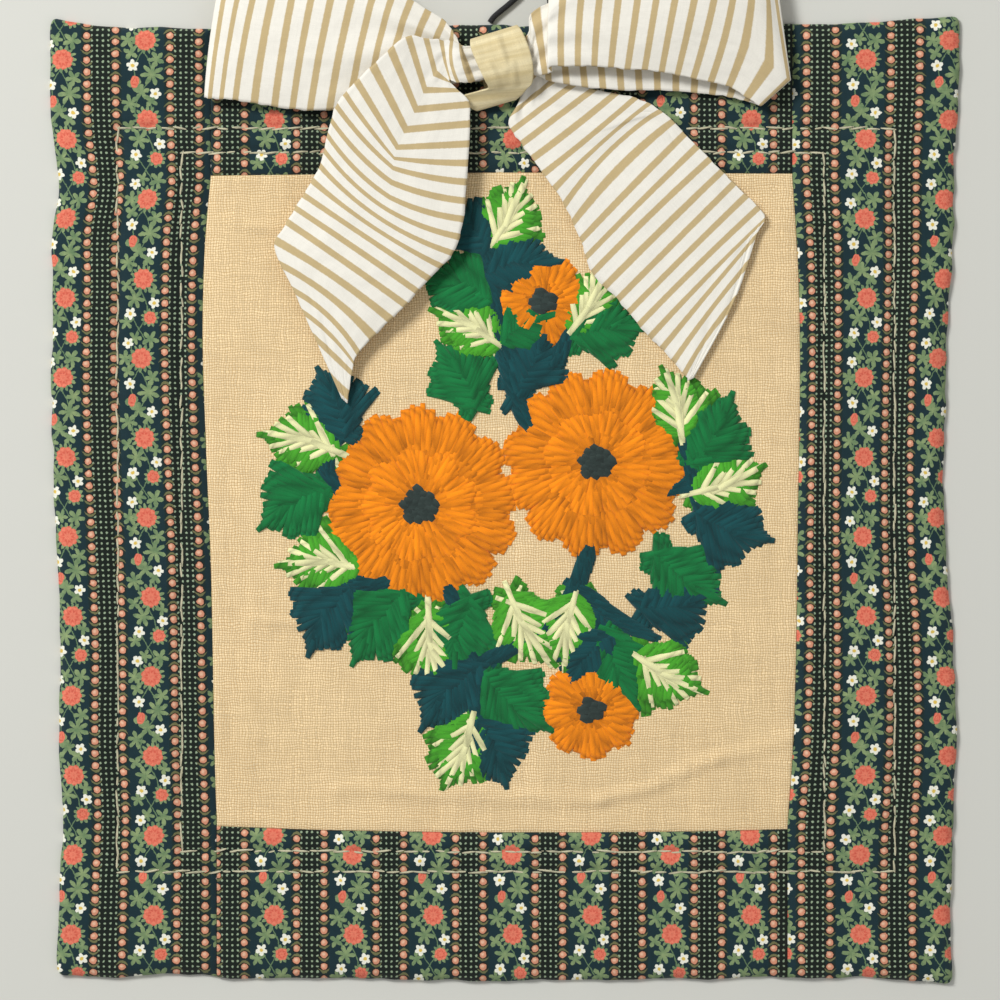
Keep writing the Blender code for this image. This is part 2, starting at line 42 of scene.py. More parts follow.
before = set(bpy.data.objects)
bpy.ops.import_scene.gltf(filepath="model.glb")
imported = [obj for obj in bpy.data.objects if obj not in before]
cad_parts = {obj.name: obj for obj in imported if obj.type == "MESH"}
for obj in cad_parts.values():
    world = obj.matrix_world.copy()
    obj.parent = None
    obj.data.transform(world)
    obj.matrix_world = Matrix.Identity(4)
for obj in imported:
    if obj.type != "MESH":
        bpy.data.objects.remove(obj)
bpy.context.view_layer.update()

BODY = "root"
MM = 0.001
FULL_TURN = 2 * math.pi

# ---- The panel's layout, millimetres ----------------------------------------------------------------

LEFT, RIGHT, BOTTOM, TOP = -178.0, 177.0, -190.5, 187.5
SEAM_LEFT, SEAM_RIGHT, SEAM_BOTTOM, SEAM_TOP = -117.0, 114.5, -131.8, 128.5
SEAM_GAP = 0.05

# Two rectangles of running stitch: x0, x1, y0, y1.
OUTER_QUILTING = (-153.6, 154.4, -148.1, 146.5)
INNER_QUILTING = (-128.2, 126.6, -140.1, 137.0)

CORNER_RADIUS = 3.2
EDGE_REACH = 22.0
SEAM_REACH = 11.0
BORDER_CROWN = 4.2
BORDER_EDGE = 1.3
BORDER_EDGE_ROUNDING = 1.9
BORDER_SEAM = 2.0
BORDER_SEAM_ROUNDING = 2.4
CHANNEL_DEPTH = 1.5
CHANNEL_WIDTH = 2.0
LINEN_HEIGHT = 2.3
ALLOWANCE_WIDTH = 9.0
ALLOWANCE_RISE = 0.35

# How far the real edges and seams wander. Columns: place along the edge, offset across it.
LEFT_DRIFT = (
    (-183, 0.1), (-153, 1.3), (-121, 2.5), (-102, 1.3), (-58, 1.7), (-26, 0.5),
    (33, -1.8), (83, -1.4), (110, -1.0), (119, 0.9), (147, -1.8), (188, -2.6),
)
RIGHT_DRIFT = (
    (-189, 0.1), (-165, -0.3), (-140, 0.1), (-96, 2.0), (-48, 0.1), (-26, -1.9),
    (50, -2.3), (102, 0.5), (135, 1.3), (160, 2.8), (190, 3.2),
)
SEAM_LEFT_DRIFT = (
    (-130, 2.7), (-104, 1.9), (-60, 1.1), (-25, 0.3), (23, -1.7), (67, -2.9), (98, -2.1), (128, 0.3),
)
SEAM_RIGHT_DRIFT = ((-131, -2.5), (-96, -0.2), (-56, 1.0), (-25, 1.4), (98, 1.4), (128, -0.6))
TOP_DRIFT = (
    (-177, 2.7), (-159, -0.5), (-132, -0.9), (-60, 0.0), (60, 0.0), (108, 0.3), (131, 0.7),
    (156, 1.9), (177, 3.5),
)
BOTTOM_DRIFT = (
    (-177, 0.7), (-159, 0.3), (-129, 1.5), (-112, 0.3), (-74, -0.1), (-2, -0.9), (86, -0.1),
    (150, -0.1), (175, -2.0),
)
SEAM_TOP_DRIFT = ((-117, -0.7), (-2, 0.5), (114, 0.1))
SEAM_BOTTOM_DRIFT = ((-114, 1.6), (-81, 0.4), (-2, -0.8), (38, -0.8), (77, -0.4), (112, 0.4))

# Soft ridges left in the linen by folding and by the pull of the stitches.
Crease = namedtuple("Crease", "x0 y0 x1 y1 height width")
CREASES = (
    Crease(-66, -116, 38, -120, 0.9, 5),
    Crease(38, -120, 85, -104, 1.0, 5),
    Crease(85, -104, 113, -96, 0.7, 5),
    Crease(-101, -48, -69, -52, 0.6, 4),
    Crease(-110, 109, -60, 107, 0.5, 4),
    Crease(80, 96, 113, 70, 0.5, 5),
    Crease(66, 30, 110, 12, 0.5, 6),
)

# ---- The bow, millimetres ------------------------------------------------------------------------------

# One section across the ribbon, from one raw edge (a) over its middle (m) to the other (b). crisp is 0
# for a round section and 1 for a sharp crease, pleat is the height of the gathers, and stripe counts
# the tan stripes from the end of the right tail.
Rib = namedtuple("Rib", "ax ay az mx my mz bx by bz crisp pleat stripe")
RIBBON = (
    # Right tail, from its cut end to the knot.
    Rib(72.5, 46.5, 4.4, 73.5, 47.0, 4.4, 74.5, 47.5, 4.4, 0, 0, 0.3),
    Rib(71.0, 49.0, 4.4, 87.5, 74.0, 4.8, 90.5, 77.5, 4.8, 0, 0, 1),
    Rib(62.0, 59.0, 4.2, 94.0, 97.5, 5.0, 99.5, 104.0, 5.0, 0, 0, 3),
    Rib(55.5, 65.5, 4.2, 95.5, 105.5, 5.2, 102.5, 112.0, 5.0, 0, 0, 4.4),
    Rib(44.5, 78.5, 4.2, 85.0, 119.0, 5.8, 90.5, 124.5, 5.8, 0, 0, 7),
    Rib(34.5, 89.0, 4.4, 75.5, 129.0, 6.6, 81.0, 134.0, 6.6, 0, 0, 9),
    Rib(30.0, 102.0, 5.0, 66.5, 139.5, 6.8, 71.0, 144.0, 6.8, 0, 0, 11),
    Rib(23.5, 116.0, 6.4, 57.0, 150.5, 7.2, 61.5, 153.0, 7.6, 0.3, 0, 13),
    Rib(15.0, 128.0, 6.4, 35.0, 144.0, 7.4, 51.5, 158.0, 8.0, 0, 0, 15),
    Rib(6.5, 140.0, 6.0, 21.0, 151.0, 7.2, 35.0, 161.5, 8.0, 0, 0.3, 17),
    Rib(1.5, 148.0, 5.8, 12.0, 156.0, 6.8, 24.0, 165.0, 8.0, 0, 0.5, 18.5),
    Rib(5.0, 155.5, 6.4, 13.8, 162.8, 7.2, 22.5, 170.0, 8.0, 0, 0.4, 19.3),
    Rib(6.9, 161.0, 7.2, 12.4, 168.3, 7.6, 18.0, 175.5, 8.2, 0, 0.3, 20),
    # The left loop's back, from the knot to its outer fold.
    Rib(7.7, 164.6, 7.7, 10.6, 171.8, 7.9, 13.5, 179.0, 8.3, 0, 0.4, 21),
    Rib(6.6, 167.4, 8.0, 5.8, 173.7, 8.0, 5.0, 180.0, 8.0, 0, 0.6, 21.7),
    Rib(-10.0, 164.8, 8.0, -12.0, 171.5, 8.0, -15.0, 177.8, 8.0, 0, 0.8, 24.2),
    Rib(-20.0, 164.0, 7.8, -22.0, 174.0, 7.8, -23.5, 184.0, 7.8, 0, 0.8, 25.6),
    Rib(-41.5, 159.5, 7.0, -43.5, 182.0, 7.2, -44.0, 201.5, 7.2, 0, 0.4, 28.5),
    Rib(-69.5, 159.0, 6.4, -68.5, 185.0, 6.8, -66.5, 211.0, 6.6, 0, 0, 32.3),
    Rib(-96.5, 159.5, 6.2, -94.0, 186.5, 6.6, -90.0, 214.5, 6.4, 0, 0, 36),
    Rib(-114.5, 159.0, 6.4, -111.5, 187.0, 6.8, -106.0, 216.0, 6.8, 0, 0, 38.4),
    Rib(-118.5, 158.5, 8.3, -115.5, 187.0, 8.9, -109.5, 217.0, 8.7, 0, 0, 39.2),
    # The left loop's front, back to the knot.
    Rib(-116.5, 157.5, 10.0, -112.5, 187.0, 11.2, -107.0, 217.0, 10.6, 0, 0, 40),
    Rib(-106.5, 157.0, 9.8, -102.5, 182.0, 12.4, -94.0, 217.0, 11.0, 0, 0, 42),
    Rib(-91.0, 154.5, 9.0, -87.0, 180.0, 13.0, -80.0, 215.5, 11.8, 0, 0, 44),
    Rib(-77.0, 153.0, 8.6, -72.5, 178.0, 13.4, -64.5, 213.0, 12.2, 0, 0.2, 46),
    Rib(-61.5, 154.0, 8.8, -56.5, 179.5, 14.0, -49.5, 206.5, 12.6, 0, 0.5, 48),
    Rib(-46.5, 157.5, 9.6, -42.5, 180.0, 13.8, -37.0, 196.5, 12.6, 0, 0.9, 50),
    Rib(-30.5, 162.0, 10.2, -28.5, 176.5, 12.0, -24.0, 188.0, 12.0, 0, 0.9, 52),
    Rib(-19.5, 164.8, 11.0, -19.5, 173.0, 11.2, -19.5, 182.0, 11.4, 0, 0.8, 53.4),
    Rib(-10.0, 164.8, 11.0, -12.0, 171.5, 11.0, -15.0, 177.8, 11.0, 0, 0.8, 54.4),
    # The right loop's back.
    Rib(9.5, 167.2, 11.0, 8.5, 173.5, 11.0, 7.5, 180.5, 11.0, 0, 0.8, 56.9),
    Rib(20.0, 164.0, 11.4, 19.0, 174.0, 11.4, 18.0, 186.0, 11.4, 0, 0.8, 58.4),
    Rib(41.5, 161.0, 10.8, 40.0, 182.0, 10.6, 39.5, 205.5, 10.4, 0, 0.4, 61.4),
    Rib(64.5, 161.0, 8.8, 64.5, 185.0, 9.0, 65.5, 212.0, 9.0, 0, 0, 64.6),
    Rib(86.0, 159.0, 7.2, 89.5, 180.0, 7.8, 87.5, 214.5, 7.8, 0, 0, 67.6),
    Rib(97.5, 156.0, 7.0, 108.5, 166.5, 7.6, 102.5, 215.0, 7.8, 1, 0, 69.4),
    Rib(101.0, 155.0, 8.8, 112.5, 165.0, 9.6, 105.5, 215.5, 9.8, 1, 0, 70.4),
    # The right loop's front.
    Rib(99.0, 155.5, 10.6, 109.5, 166.5, 11.8, 103.0, 215.5, 12.0, 1, 0, 71.4),
    Rib(88.0, 162.0, 12.0, 94.0, 178.0, 15.2, 98.0, 215.5, 14.0, 0.4, 0, 73),
    Rib(74.0, 165.0, 13.4, 79.0, 182.5, 17.2, 85.5, 215.5, 15.4, 0, 0, 75),
    Rib(61.5, 167.5, 15.0, 64.5, 184.0, 18.6, 70.5, 215.5, 16.4, 0, 0, 77),
    Rib(48.0, 168.5, 16.6, 50.5, 185.0, 19.2, 54.5, 215.0, 17.2, 0, 0, 79),
    Rib(35.0, 169.5, 17.6, 36.0, 186.0, 19.6, 39.5, 213.0, 17.6, 0, 0.3, 81),
    Rib(22.0, 169.5, 18.2, 22.0, 185.0, 19.4, 23.5, 203.5, 17.8, 0, 0.5, 83),
    Rib(17.0, 169.0, 18.0, 17.0, 183.5, 19.0, 17.5, 196.0, 17.6, 0, 0.6, 83.7),
    Rib(18.5, 167.5, 15.6, 17.5, 182.5, 16.6, 18.0, 195.5, 15.6, 0, 0.6, 84.4),
    Rib(14.5, 166.5, 15.0, 12.5, 178.5, 15.6, 10.0, 190.0, 15.0, 0, 0.8, 85.2),
    # The left tail, over the left loop and down to its cut end.
    Rib(9.5, 167.2, 14.0, 8.5, 173.5, 14.0, 7.5, 181.0, 14.0, 0, 0.8, 86),
    Rib(-9.5, 165.0, 14.0, -12.0, 171.5, 14.0, -15.0, 177.8, 14.0, 0, 0.8, 88.5),
    Rib(-14.0, 163.5, 14.8, -16.5, 170.5, 17.4, -18.0, 178.5, 15.4, 0, 0.4, 89.1),
    Rib(-18.5, 163.5, 15.4, -21.0, 170.5, 17.2, -21.0, 179.5, 16.0, 0, 0, 90),
    Rib(-21.5, 164.5, 14.2, -23.5, 172.0, 15.2, -25.0, 180.0, 16.4, 0.5, 0, 91),
    Rib(-21.5, 163.5, 13.8, -27.5, 167.0, 14.9, -31.0, 180.5, 17.2, 1, 0, 92),
    Rib(-18.5, 160.5, 13.6, -31.5, 160.5, 14.4, -38.0, 181.5, 17.8, 1, 0, 93),
    Rib(-14.0, 155.0, 13.2, -35.0, 153.0, 13.8, -45.0, 176.5, 18.0, 1, 0, 94),
    Rib(-14.0, 139.5, 12.2, -42.5, 138.0, 12.6, -58.5, 164.0, 16.0, 1, 0, 96),
    Rib(-15.0, 124.5, 11.2, -44.0, 130.0, 12.2, -66.5, 154.5, 14.0, 0.6, 0, 98),
    Rib(-16.5, 110.0, 10.4, -45.5, 118.5, 12.0, -70.0, 143.0, 12.4, 0.2, 0, 100),
    Rib(-20.5, 96.5, 10.0, -47.5, 109.0, 12.0, -73.0, 131.0, 11.4, 0, 0, 102),
    Rib(-30.0, 86.5, 9.6, -53.5, 102.0, 11.6, -79.5, 119.5, 10.4, 0, 0, 104),
    Rib(-39.0, 76.0, 9.2, -61.5, 92.0, 11.0, -86.0, 109.0, 9.4, 0, 0, 106),
    Rib(-47.0, 68.5, 8.6, -69.5, 86.0, 10.2, -91.0, 99.0, 8.8, 0, 0, 107.3),
    Rib(-58.0, 57.0, 8.0, -70.5, 72.5, 9.0, -83.5, 82.0, 8.2, 0, 0, 109),
    Rib(-60.5, 49.5, 7.2, -67.8, 56.5, 7.8, -75.2, 63.5, 7.6, 0, 0, 111),
    Rib(-62.5, 37.5, 6.2, -63.5, 38.5, 6.2, -64.5, 39.5, 6.2, 0, 0, 112.3),
)
RIBBON_COLUMNS = 44
ROWS_PER_RIB = 6
PLEATS = 3
SHARPEST_FOLD = 0.65
STRIPE_PITCH = 7.3
RIBBON_WIDTH = 62.0
WRINKLE = 0.28
FRAY = 0.35

# One section across the wrap, from its left edge (l) to its right edge (r), once round the bow.
Turn = namedtuple("Turn", "lx ly lz rx ry rz")
KNOT = (
    Turn(-13.5, 180.6, 11.0, 4.8, 186.2, 11.0),
    Turn(-13.5, 177.0, 16.4, 7.1, 182.4, 16.6),
    Turn(-11.1, 170.7, 17.7, 9.9, 175.1, 17.9),
    Turn(-8.3, 164.8, 16.9, 11.1, 168.6, 17.2),
    Turn(-6.7, 161.4, 13.9, 10.7, 163.6, 14.0),
    Turn(-10.5, 160.2, 12.5, 8.6, 161.4, 12.4),
    Turn(-17.5, 158.0, 11.0, 7.0, 159.6, 10.8),
    Turn(-14.5, 154.6, 9.4, 5.2, 158.2, 9.2),
    Turn(-11.0, 153.2, 7.6, 4.0, 157.6, 7.6),
    Turn(-9.5, 155.5, 6.0, 4.0, 159.0, 6.2),
    Turn(-8.2, 160.5, 5.4, 6.2, 163.0, 5.5),
    Turn(-9.6, 169.0, 5.4, 8.2, 173.0, 5.5),
    Turn(-12.5, 178.4, 5.9, 5.6, 184.0, 6.0),
)
KNOT_ROWS = 130
KNOT_COLUMNS = 30
KNOT_FOLDS = (
    Crease(-3.3, 181.2, 0.8, 168.7, 0.9, 2.4),
    Crease(-6.4, 170.3, -2.4, 162.0, 0.8, 2.2),
    Crease(2.8, 170.7, 4.0, 163.2, 0.8, 2.2),
)

CORD_HEIGHT = 1.3
CORD_ROUTE = (
    (-6.0, 188.6), (-4.6, 190.6), (-2.4, 192.6), (0.8, 195.2), (4.0, 198.0), (7.6, 201.6), (11.0, 204.9),
    (14.4, 206.2), (16.9, 204.4), (17.7, 200.4), (17.9, 196.0), (18.8, 192.2), (19.9, 189.8), (20.0, 188.3),
)

# ---- The embroidery's design, millimetres ---------------------------------------------------------------

# A leaf grows from (x, y) along angle, in degrees. finish is fishbone green, fishbone teal or rimmed.
Leaf = namedtuple("Leaf", "x y angle length finish")
LEAVES = (
    Leaf(-6, 100, 62, 25, "rimmed"),
    Leaf(-8, 98, 128, 21, "teal"),
    Leaf(-7, 88, 12, 25, "teal"),
    Leaf(-6, 78, 158, 24, "green"),
    Leaf(-2, 60, 150, 25, "rimmed"),
    Leaf(-1, 62, 28, 22, "green"),
    Leaf(26, 66, 60, 24, "rimmed"),
    Leaf(27, 64, 8, 24, "green"),
    Leaf(4, 44, 60, 23, "teal"),
    Leaf(-12, 36, 118, 24, "green"),
    Leaf(-64, 24, 108, 24, "teal"),
    Leaf(-66, 18, 165, 26, "rimmed"),
    Leaf(-70, 4, 208, 26, "green"),
    Leaf(-58, -28, 176, 27, "rimmed"),
    Leaf(-62, -36, 236, 25, "teal"),
    Leaf(-40, -38, 232, 28, "green"),
    Leaf(-30, -44, 278, 27, "rimmed"),
    Leaf(-14, -40, 258, 28, "green"),
    Leaf(2, -38, 300, 28, "rimmed"),
    Leaf(-10, -66, 226, 28, "teal"),
    Leaf(-8, -70, 318, 28, "green"),
    Leaf(-13, -86, 250, 27, "rimmed"),
    Leaf(-11, -88, 296, 24, "teal"),
    Leaf(28, -38, 262, 27, "rimmed"),
    Leaf(40, -52, 290, 28, "green"),
    Leaf(42, -54, 232, 24, "teal"),
    Leaf(52, -62, 330, 26, "rimmed"),
    Leaf(54, -44, 12, 25, "teal"),
    Leaf(60, -22, 322, 27, "green"),
    Leaf(74, 2, 20, 26, "rimmed"),
    Leaf(76, -6, 338, 26, "teal"),
    Leaf(74, 14, 58, 26, "green"),
    Leaf(70, 24, 104, 24, "rimmed"),
)
LEAF_WIDTH_SHARE = 0.34

# A round flower: rings of petals filled with long and short stitches.
Flower = namedtuple("Flower", "x y radius petals turn")
FLOWERS = (
    Flower(-34, -3, 33, 13, 8),
    Flower(36, 14, 31, 12, 20),
    Flower(15, 78, 14, 8, 10),
    Flower(34, -84, 15, 8, 4),
)

# Rope stitched stems, through their points.
STEMS = (
    ((-7, 106), (-6, 92), (-4, 76), (-1, 60), (3, 44), (8, 30)),
    ((-1, 60), (4, 68), (8, 73)),
    ((26, 66), (20, 56), (10, 46), (3, 40)),
    ((-66, 24), (-70, 12), (-66, 2)),
    ((-60, -32), (-52, -34), (-44, -32)),
    ((-24, -32), (-18, -48), (-12, -66), (-12, -84), (-14, -96)),
    ((-12, -66), (2, -60), (18, -50), (30, -30), (34, -14)),
    ((38, -50), (36, -62), (34, -72)),
    ((30, -36), (42, -46), (54, -54)),
    ((62, 2), (70, 4), (76, 2)),
    ((74, 2), (73, 14), (70, 24)),
)

STRAND_WIDTH = 2.0
QUILTING_WIDTH = 0.45
STRAND_PITCH = 1.55

# sRGB colours of the wool, and how matte it is.
WOOL = {
    "wool_teal": (10, 72, 76),
    "wool_green": (12, 116, 58),
    "wool_lime": (72, 162, 40),
    "wool_cream": (238, 236, 178),
    "wool_orange": (246, 140, 10),
    "wool_charcoal": (52, 66, 62),
}


# ---- Numbers -------------------------------------------------------------------------------------------


def srgb(red, green, blue):
    """A colour given as eight-bit sRGB, as the linear numbers that a shader takes."""
    return tuple(
        c / 255 / 12.92 if c <= 10 else ((c / 255 + 0.055) / 1.055) ** 2.4 for c in (red, green, blue)
    )


def rgba(red, green, blue):
    return (*srgb(red, green, blue), 1.0)


def value_along(rows, at):
    """The smooth value of a two-column table, at each place along its first column."""
    place, value = np.array(rows, dtype=float).T
    slope = np.gradient(value, place)
    start = np.clip(np.searchsorted(place, at) - 1, 0, len(place) - 2)
    span = place[start + 1] - place[start]
    t = np.clip((at - place[start]) / span, 0.0, 1.0)
    return (
        value[start] * (1 + 2 * t) * (1 - t) ** 2
        + slope[start] * span * t * (1 - t) ** 2
        + value[start + 1] * t**2 * (3 - 2 * t)
        + slope[start + 1] * span * t**2 * (t - 1)
    )


def curve_through(points, count, closed=False):
    """count points on a Catmull-Rom curve through the rows of points, evenly by row number."""
    points = np.asarray(points, dtype=float)
    last = len(points) if closed else len(points) - 1
    place = np.linspace(0, last, count, endpoint=not closed)
    row = np.minimum(place.astype(int), last - 1)
    t = (place - row).reshape(-1, *[1] * (points.ndim - 1))

    def at(index):
        return points[index % len(points)] if closed else points[np.clip(index, 0, last)]

    before, start, end, after = at(row - 1), at(row), at(row + 1), at(row + 2)
    return 0.5 * (
        2 * start
        + (end - before) * t
        + (2 * before - 5 * start + 4 * end - after) * t**2
        + (3 * start - before - 3 * end + after) * t**3
    )


def fade(distance, reach):
    """1 at no distance, falling smoothly to 0 at reach and beyond."""
    t = np.clip(1 - np.abs(distance) / reach, 0.0, 1.0)
    return t * t * (3 - 2 * t)


def scatter_of(*whole):
    """A number from -1 to 1 for each set of whole numbers, the same on every run."""
    mixed = np.zeros(np.shape(whole[0]), dtype=np.uint64)
    for k, number in enumerate(whole):
        prime = np.uint64((0x9E3779B97F4A7C15, 0xC2B2AE3D27D4EB4F, 0x165667B19E3779F9)[k])
        whole_number = np.asarray(number, dtype=np.int64).astype(np.uint64)
        mixed = (mixed ^ (whole_number * prime)) * np.uint64(0xFF51AFD7ED558CCD)
        mixed ^= mixed >> np.uint64(29)
    return (mixed >> np.uint64(40)).astype(float) / 2**23 - 1


def waves(x, y, size, seed=0):
    """Smooth unevenness from -1 to 1 over the plane, in lumps of the given size."""
    u, v = np.asarray(x) / size, np.asarray(y) / size
    i, j = np.floor(u).astype(np.int64), np.floor(v).astype(np.int64)
    s, t = u - i, v - j
    s, t = s * s * (3 - 2 * s), t * t * (3 - 2 * t)
    seeds = np.full(i.shape, seed)
    at = [[scatter_of(i + di + 4096, j + dj + 4096, seeds) for dj in (0, 1)] for di in (0, 1)]
    return (at[0][0] * (1 - t) + at[0][1] * t) * (1 - s) + (at[1][0] * (1 - t) + at[1][1] * t) * s


# ---- The panel's surface ---------------------------------------------------------------------------------


def round_corners(x, y):
    """Takes the panel's four square corners in to a small radius."""
    middle_x, middle_y = (LEFT + RIGHT) / 2, (BOTTOM + TOP) / 2
    from_x, from_y = x - middle_x, y - middle_y
    u = (np.abs(from_x) - (RIGHT - LEFT) / 2) / CORNER_RADIUS + 1
    v = (np.abs(from_y) - (TOP - BOTTOM) / 2) / CORNER_RADIUS + 1
    near = (u > 0) & (v > 0)
    u, v = np.clip(u, 0, 1), np.clip(v, 0, 1)
    move_x = np.where(near, (u - u * np.sqrt(1 - v * v / 2)) * CORNER_RADIUS, 0)
    move_y = np.where(near, (v - v * np.sqrt(1 - u * u / 2)) * CORNER_RADIUS, 0)
    return x - np.sign(from_x) * move_x, y - np.sign(from_y) * move_y


def drifted(x, y):
    """Where a point of the evenly drawn panel really lies."""
    ripple = 0.5 * waves(x + 300, y, 9.0, 1) + 0.3 * waves(x, y + 300, 4.5, 2)
    near_left, near_right = fade(x - LEFT, EDGE_REACH), fade(x - RIGHT, EDGE_REACH)
    near_bottom, near_top = fade(y - BOTTOM, EDGE_REACH), fade(y - TOP, EDGE_REACH)
    x_rounded, y_rounded = round_corners(x, y)
    return (
        x_rounded
        + near_left * (value_along(LEFT_DRIFT, y) + ripple)
        + near_right * (value_along(RIGHT_DRIFT, y) - ripple)
        + fade(x - SEAM_LEFT, SEAM_REACH) * value_along(SEAM_LEFT_DRIFT, y)
        + fade(x - SEAM_RIGHT, SEAM_REACH) * value_along(SEAM_RIGHT_DRIFT, y),
        y_rounded
        + near_bottom * (value_along(BOTTOM_DRIFT, x) + ripple)
        + near_top * (value_along(TOP_DRIFT, x) - ripple)
        + fade(y - SEAM_BOTTOM, SEAM_REACH) * value_along(SEAM_BOTTOM_DRIFT, x)
        + fade(y - SEAM_TOP, SEAM_REACH) * value_along(SEAM_TOP_DRIFT, x),
    )


def to_rectangle(x, y, rectangle):
    """Each point's distance from the outline of a rectangle (x0, x1, y0, y1)."""
    x0, x1, y0, y1 = rectangle
    outside = np.hypot(np.maximum(np.maximum(x0 - x, x - x1), 0), np.maximum(np.maximum(y0 - y, y - y1), 0))
    inside = np.minimum(np.minimum(x - x0, x1 - x), np.minimum(y - y0, y1 - y))
    return np.where(outside > 0, outside, np.maximum(inside, 0))


def border_height(x, y, seams):
    """Height of the wadded border over its back. seams are lines: (axis, place)."""
    to_edge = to_rectangle(x, y, (LEFT, RIGHT, BOTTOM, TOP))
    to_seam = np.min([np.abs((x, y)[axis] - place) for axis, place in seams], axis=0)
    to_outer, to_inner = to_rectangle(x, y, OUTER_QUILTING), to_rectangle(x, y, INNER_QUILTING)
    to_quilting = np.minimum(to_outer, to_inner)
    edge_drop = (BORDER_CROWN - BORDER_EDGE) * np.exp(-to_edge / BORDER_EDGE_ROUNDING)
    seam_drop = (BORDER_CROWN - BORDER_SEAM) * np.exp(-to_seam / BORDER_SEAM_ROUNDING)
    pull = 1 + 0.35 * waves(x, y, 3.2, 3)
    channel = CHANNEL_DEPTH * pull * np.exp(-((to_quilting / CHANNEL_WIDTH) ** 2))
    drop = np.maximum(np.maximum(edge_drop, seam_drop), channel)
    upright = np.abs(x - (LEFT + RIGHT) / 2) > (SEAM_RIGHT - SEAM_LEFT) / 2
    along = np.where(upright, y, x)
    across = np.where(upright, x, y)
    pucker = waves(along, across / 3, 3.4, 4) * np.exp(-((to_quilting / 6.5) ** 2)) * 0.42
    pucker += waves(along, across / 4, 5.0, 5) * np.exp(-((to_edge / 7.0) ** 2)) * 0.45
    loft = 0.45 * waves(x, y, 17.0, 6) + 0.22 * waves(x, y, 7.0, 7) + 0.07 * waves(x, y, 2.6, 8)
    inside = np.clip(to_edge / 4, 0, 1) * np.clip(to_seam / 4, 0.25, 1)
    return BORDER_CROWN - drop + pucker + loft * inside


def rise_of(creases, x, y):
    """How far the creases lift the cloth at each point."""
    rise = np.zeros(np.shape(x))
    for crease in creases:
        run_x, run_y = crease.x1 - crease.x0, crease.y1 - crease.y0
        along = ((x - crease.x0) * run_x + (y - crease.y0) * run_y) / (run_x**2 + run_y**2)
        along = np.clip(along, 0, 1)
        away = np.hypot(x - crease.x0 - along * run_x, y - crease.y0 - along * run_y)
        rise += crease.height * fade(away, crease.width)
    return rise


def linen_height(x, y):
    """Height of the linen's face over its back, with its soft creases."""
    to_seam = to_rectangle(x, y, (SEAM_LEFT, SEAM_RIGHT, SEAM_BOTTOM, SEAM_TOP))
    height = LINEN_HEIGHT + ALLOWANCE_RISE * fade(to_seam, ALLOWANCE_WIDTH)
    height += 0.28 * waves(x, y, 26.0, 11) + 0.16 * waves(x, y / 2.4, 9.0, 12) + 0.05 * waves(x, y, 3.0, 13)
    return height + rise_of(CREASES, x, y + 1.6 * waves(x, y, 14.0, 14)) - 0.5 * np.exp(-to_seam / 1.2)


def print_place(x, y):
    """Where the calico's print lies under a point of the border: the print follows its own strip."""
    side = np.where(x < (LEFT + RIGHT) / 2, -1, 1)
    edge = np.where(side < 0, value_along(LEFT_DRIFT, y), value_along(RIGHT_DRIFT, y))
    seam = np.where(side < 0, value_along(SEAM_LEFT_DRIFT, y), value_along(SEAM_RIGHT_DRIFT, y))
    width = np.where(side < 0, SEAM_LEFT - LEFT, RIGHT - SEAM_RIGHT)
    from_seam = np.where(side < 0, SEAM_LEFT - x, x - SEAM_RIGHT) / width
    upright = np.clip(from_seam, 0, 1) > 0
    lean = np.where(upright, seam + (edge - seam) * np.clip(from_seam, 0, 1), 0)
    real_x, real_y = drifted(x, y)
    return real_x - lean, real_y


# ---- Meshes -------------------------------------------------------------------------------------------


def mesh_from(name, points, faces, material, maps=None, numbers=None):
    """An object at the origin from points in millimetres, with UV maps and numbers for each point."""
    mesh = bpy.data.meshes.new(name)
    mesh.from_pydata((np.asarray(points, dtype=float) * MM).tolist(), [], faces)
    corners = np.empty(len(mesh.loops), dtype=np.int32)
    mesh.loops.foreach_get("vertex_index", corners)
    for label, places in (maps or {}).items():
        layer = mesh.uv_layers.new(name=label)
        layer.uv.foreach_set("vector", np.asarray(places, dtype=np.float32)[corners].ravel())
    for label, values in (numbers or {}).items():
        layer = mesh.attributes.new(label, "FLOAT", "POINT")
        layer.data.foreach_set("value", np.asarray(values, dtype=np.float32))
    mesh.materials.append(material)
    mesh.shade_smooth()
    obj = bpy.data.objects.new(name, mesh)
    bpy.context.collection.objects.link(obj)
    return obj


def stations(start, end, step):
    """Places from start to end at an even step, with two more close to each end."""
    even = np.linspace(start, end, round((end - start) / step) + 1)
    close = step * np.array([0.25, 0.6])
    return np.sort(np.concatenate([even, start + close, end - close]))


